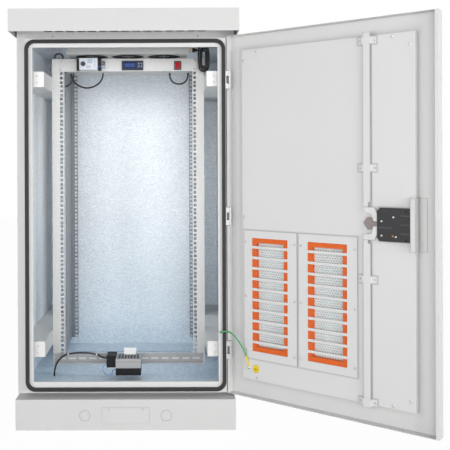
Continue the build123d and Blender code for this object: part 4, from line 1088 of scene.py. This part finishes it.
class CABINET_OT_spare_lead(bpy.types.Operator):
    """Hang the spare lead as a tied hank with its moulded plug"""

    bl_idname = "cabinet.spare_lead"
    bl_label = "Spare Lead"

    plug_length = 0.017
    plug_half = 0.007
    layers = 3
    layer_turns = 2.5
    layer_step = 2.3
    points_each = 14
    slack = 0.001

    def turns(self, low, high, plug_right, plug_centre, radius):
        """Long turns: a circle drawn out upwards, stepped to and fro in layers that grow smaller inwards."""
        middle = 0.5 * (low[2] + high[2])
        outer = 0.5 * (high[0] - plug_right) - radius - self.slack
        centre = 0.5 * (high[0] + plug_right)
        rise = 0.5 * (high[2] - low[2]) - radius - outer - self.slack
        turn = np.arange(int(self.layers * self.layer_turns * self.points_each) + 1) / self.points_each
        angle = math.pi + TAU * turn
        starts = self.layer_turns * np.arange(1, self.layers)
        inner = np.clip(turn[:, None] - starts + 0.5, 0.0, 1.0).sum(axis=1)
        round_half = outer - inner * self.layer_step * radius
        step = high[1] - low[1] - 2.0 * (radius + self.slack)
        sweep = 1.0 - np.abs((turn / self.layer_turns) % 2.0 - 1.0)
        x = centre + round_half * np.cos(angle)
        y = high[1] - radius - self.slack - step * sweep
        lift = rise - inner * self.layer_step * radius * 0.5
        z = middle + round_half * np.sin(angle) + lift * np.clip(2.4 * np.sin(angle), -1.0, 1.0)
        start = ((x[0], y[0], high[2]), (x[0], y[0], high[2] - 14.0 * MM))
        loops = tuple(tuple(float(v) for v in point) for point in np.stack((x, y, z), axis=1))
        tail_y, tail_z = plug_centre
        end = (
            (x[-1], tail_y, tail_z - 26.0 * MM), (x[-1] + 3.0 * MM, tail_y, tail_z - 4.0 * MM),
            (plug_right + 8.0 * MM, tail_y, tail_z), (plug_right, tail_y, tail_z),
        )
        return start + loops + end

    def plug(self, left, right, centre):
        """Moulded plug: a rounded square drawn along X, narrowing in steps towards the cord."""
        black = moulded_plastic("plug_black", linear(32, 32, 34), 1400.0)
        share = np.array((0.0, 0.0, 0.04, 0.45, 0.62, 0.70, 0.78, 0.86, 1.0, 1.0))
        size = np.array((0.0, 0.9, 1.0, 1.0, 0.80, 0.66, 0.70, 0.56, 0.50, 0.0))
        turn = circle(PLUG_SIDES)
        corner = (np.abs(np.cos(turn)) ** 4 + np.abs(np.sin(turn)) ** 4) ** -0.25
        x = (left + share * (right - left))[:, None] + 0.0 * turn[None, :]
        y = centre[0] + self.plug_half * size[:, None] * (corner * np.cos(turn))[None, :]
        z = centre[1] + self.plug_half * size[:, None] * (corner * np.sin(turn))[None, :]
        return grid_mesh("spare_plug", np.stack((x, y, z), axis=-1), black, closed_v=True)

    def execute(self, context):
        wires = settings()[1]
        rubber = cable_jacket("lead_black", linear(34, 34, 36))
        low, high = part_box("cord_hank")
        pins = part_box("plug_pins")
        plug_left = pins[1][0]
        plug_centre = ((pins[0][1] + pins[1][1]) / 2.0, (pins[0][2] + pins[1][2]) / 2.0)
        plug = self.plug(plug_left, plug_left + self.plug_length, plug_centre)
        route = self.turns(low, high, plug_left + self.plug_length, plug_centre, wires.hank_radius)
        lead = wire_curve("spare_cord", route, wires.hank_radius, rubber)
        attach(lead, "cabinet")
        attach(plug, "cabinet")
        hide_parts("cord_hank")
        coat(bright_zinc("pin_brass", linear(196, 160, 92)), "plug_pins")
        run_length(centreline(route))
        return {"FINISHED"}


class CABINET_OT_stage(bpy.types.Operator):
    """Set the floor, the light and the camera"""

    bl_idname = "cabinet.stage"
    bl_label = "Stage"

    place = (0.13300, -2.79046, 0.85410)
    pitch = -0.00209
    yaw = 0.00306
    roll = -0.00393
    shift = (0.13547, -0.13652)
    reach = 9.0
    wide = math.pi
    narrow = 0.64 * math.pi
    lamps = (
        ("key", (-3.2, -3.9, 1.0), (0.1, 0.0, 0.7), 2.0, wide),
        ("right", (3.2, -3.9, 1.0), (-0.2, 0.0, 0.7), 2.0, wide),
        ("front", (0.0, -5.2, 0.5), (0.0, 0.0, 0.7), 3.4, wide),
        ("lining", (0.0, 0.06, 1.25), (0.0, 0.0601, 0.0), 0.30, narrow),
        ("left_wall", (0.06, -0.05, 0.80), (-0.33, -0.0501, 0.80), 0.60, narrow),
        ("right_wall", (-0.06, 0.0, 0.74), (0.33, -0.0001, 0.74), 0.60, narrow),
    )

    def execute(self, context):
        stage = settings()[2]
        self.floor()
        self.world(stage.fill)
        for name, place, target, size, spread in self.lamps:
            self.lamp(f"{name}_lamp", place, target, size, getattr(stage, f"{name}_power"), spread)
        self.camera(stage.lens)
        context.scene.view_settings.view_transform = "Standard"
        return {"FINISHED"}

    def floor(self):
        """A pale plain floor that shows white to the camera and keeps a soft shadow."""
        pale = Finish("studio_floor")
        path = pale.node("ShaderNodeLightPath")
        grain = pale.noise(3.0, 2.0)
        pale.surface(Base_Color=pale.tint((0.86, 0.86, 0.86), grain, 0.01), Roughness=0.9)
        white = pale.node("ShaderNodeEmission", {}, {"Color": (1.0, 1.0, 1.0), "Strength": 1.0})
        seen = pale.value(path.outputs["Is Camera Ray"]) * 0.97
        mix = pale.node("ShaderNodeMixShader")
        pale.feed(mix.inputs[0], seen)
        pale.feed(mix.inputs[1], pale.shader.outputs[0])
        pale.feed(mix.inputs[2], white.outputs[0])
        pale.feed(pale.output.inputs["Surface"], mix.outputs[0])
        spans = np.linspace(-self.reach, self.reach, 7)
        x, y = np.meshgrid(spans, spans)
        grid_mesh("studio_floor", np.stack((x, y, np.zeros_like(x)), axis=-1), pale.material)

    def world(self, fill):
        """Even light, with a white backdrop for the camera and for reflections."""
        world = bpy.data.worlds.new("studio_world")
        bpy.context.scene.world = world
        world.use_nodes = True
        tree = world.node_tree
        tree.nodes.clear()
        path = tree.nodes.new("ShaderNodeLightPath")
        mix = tree.nodes.new("ShaderNodeMixShader")
        output = tree.nodes.new("ShaderNodeOutputWorld")
        rays = ("Is Camera Ray", "Is Glossy Ray", "Is Transmission Ray")
        tree.links.new(largest([Value(tree, path.outputs[ray]) for ray in rays]).socket, mix.inputs[0])
        levels = (((0.97, 0.98, 1.0, 1.0), fill), ((1.0, 1.0, 1.0, 1.0), 1.0))
        for socket, (colour, strength) in zip(mix.inputs[1:], levels):
            light = tree.nodes.new("ShaderNodeBackground")
            light.inputs["Color"].default_value = colour
            light.inputs["Strength"].default_value = strength
            tree.links.new(light.outputs[0], socket)
        tree.links.new(mix.outputs[0], output.inputs[0])

    def lamp(self, name, place, target, size, power, spread):
        """A square lamp that faces its target."""
        light = bpy.data.lights.new(name, "AREA")
        light.size = size
        light.energy = power
        light.spread = spread
        lamp = placed(name, light)
        lamp.location = place
        aim = np.array(target) - np.array(place)
        lamp.rotation_euler = (
            math.atan2(math.hypot(aim[0], aim[1]), -aim[2]), 0.0, math.atan2(aim[1], aim[0]) - math.pi / 2.0,
        )

    def camera(self, lens):
        """The viewpoint of the photograph, close to level and a little to the right."""
        view = bpy.data.cameras.new("photo_camera")
        view.lens = lens
        view.sensor_width = 36.0
        view.shift_x, view.shift_y = self.shift
        camera = placed("photo_camera", view)
        turn = Matrix.Rotation(self.yaw, 4, "Z") @ Matrix.Rotation(math.pi / 2.0 + self.pitch, 4, "X")
        camera.matrix_world = Matrix.Translation(self.place) @ turn @ Matrix.Rotation(self.roll, 4, "Z")
        bpy.context.scene.camera = camera


class CABINET_PT_panel(bpy.types.Panel):
    """Lists the cabinet's pieces and its stage"""

    bl_idname = "CABINET_PT_panel"
    bl_label = "Cabinet"
    bl_space_type = "VIEW_3D"
    bl_region_type = "UI"
    bl_category = "Cabinet"

    def draw(self, context):
        column = self.layout.column()
        for operator in OPERATORS:
            column.operator(operator.bl_idname)
        for group in settings():
            for name in group.__annotations__:
                column.prop(group, name)


OPERATORS = (
    CABINET_OT_shell, CABINET_OT_lining, CABINET_OT_rack, CABINET_OT_fans, CABINET_OT_controls,
    CABINET_OT_heater, CABINET_OT_door_fittings, CABINET_OT_wiring, CABINET_OT_spare_lead, CABINET_OT_stage,
)
GROUPS = (CabinetFinishes, CabinetWires, CabinetStage)


def register():
    for cls in GROUPS + OPERATORS + (CABINET_PT_panel,):
        bpy.utils.register_class(cls)
    bpy.types.Scene.cabinet_finishes = bpy.props.PointerProperty(type=CabinetFinishes)
    bpy.types.Scene.cabinet_wires = bpy.props.PointerProperty(type=CabinetWires)
    bpy.types.Scene.cabinet_stage = bpy.props.PointerProperty(type=CabinetStage)


def unregister():
    del bpy.types.Scene.cabinet_stage
    del bpy.types.Scene.cabinet_wires
    del bpy.types.Scene.cabinet_finishes
    for cls in reversed(GROUPS + OPERATORS + (CABINET_PT_panel,)):
        bpy.utils.unregister_class(cls)


def main():
    register()
    bpy.ops.cabinet.shell()
    bpy.ops.cabinet.lining()
    bpy.ops.cabinet.rack()
    bpy.ops.cabinet.fans()
    bpy.ops.cabinet.controls()
    bpy.ops.cabinet.heater()
    bpy.ops.cabinet.door_fittings()
    bpy.ops.cabinet.wiring()
    bpy.ops.cabinet.spare_lead()
    bpy.ops.cabinet.stage()


if __name__ == "__main__":
    main()
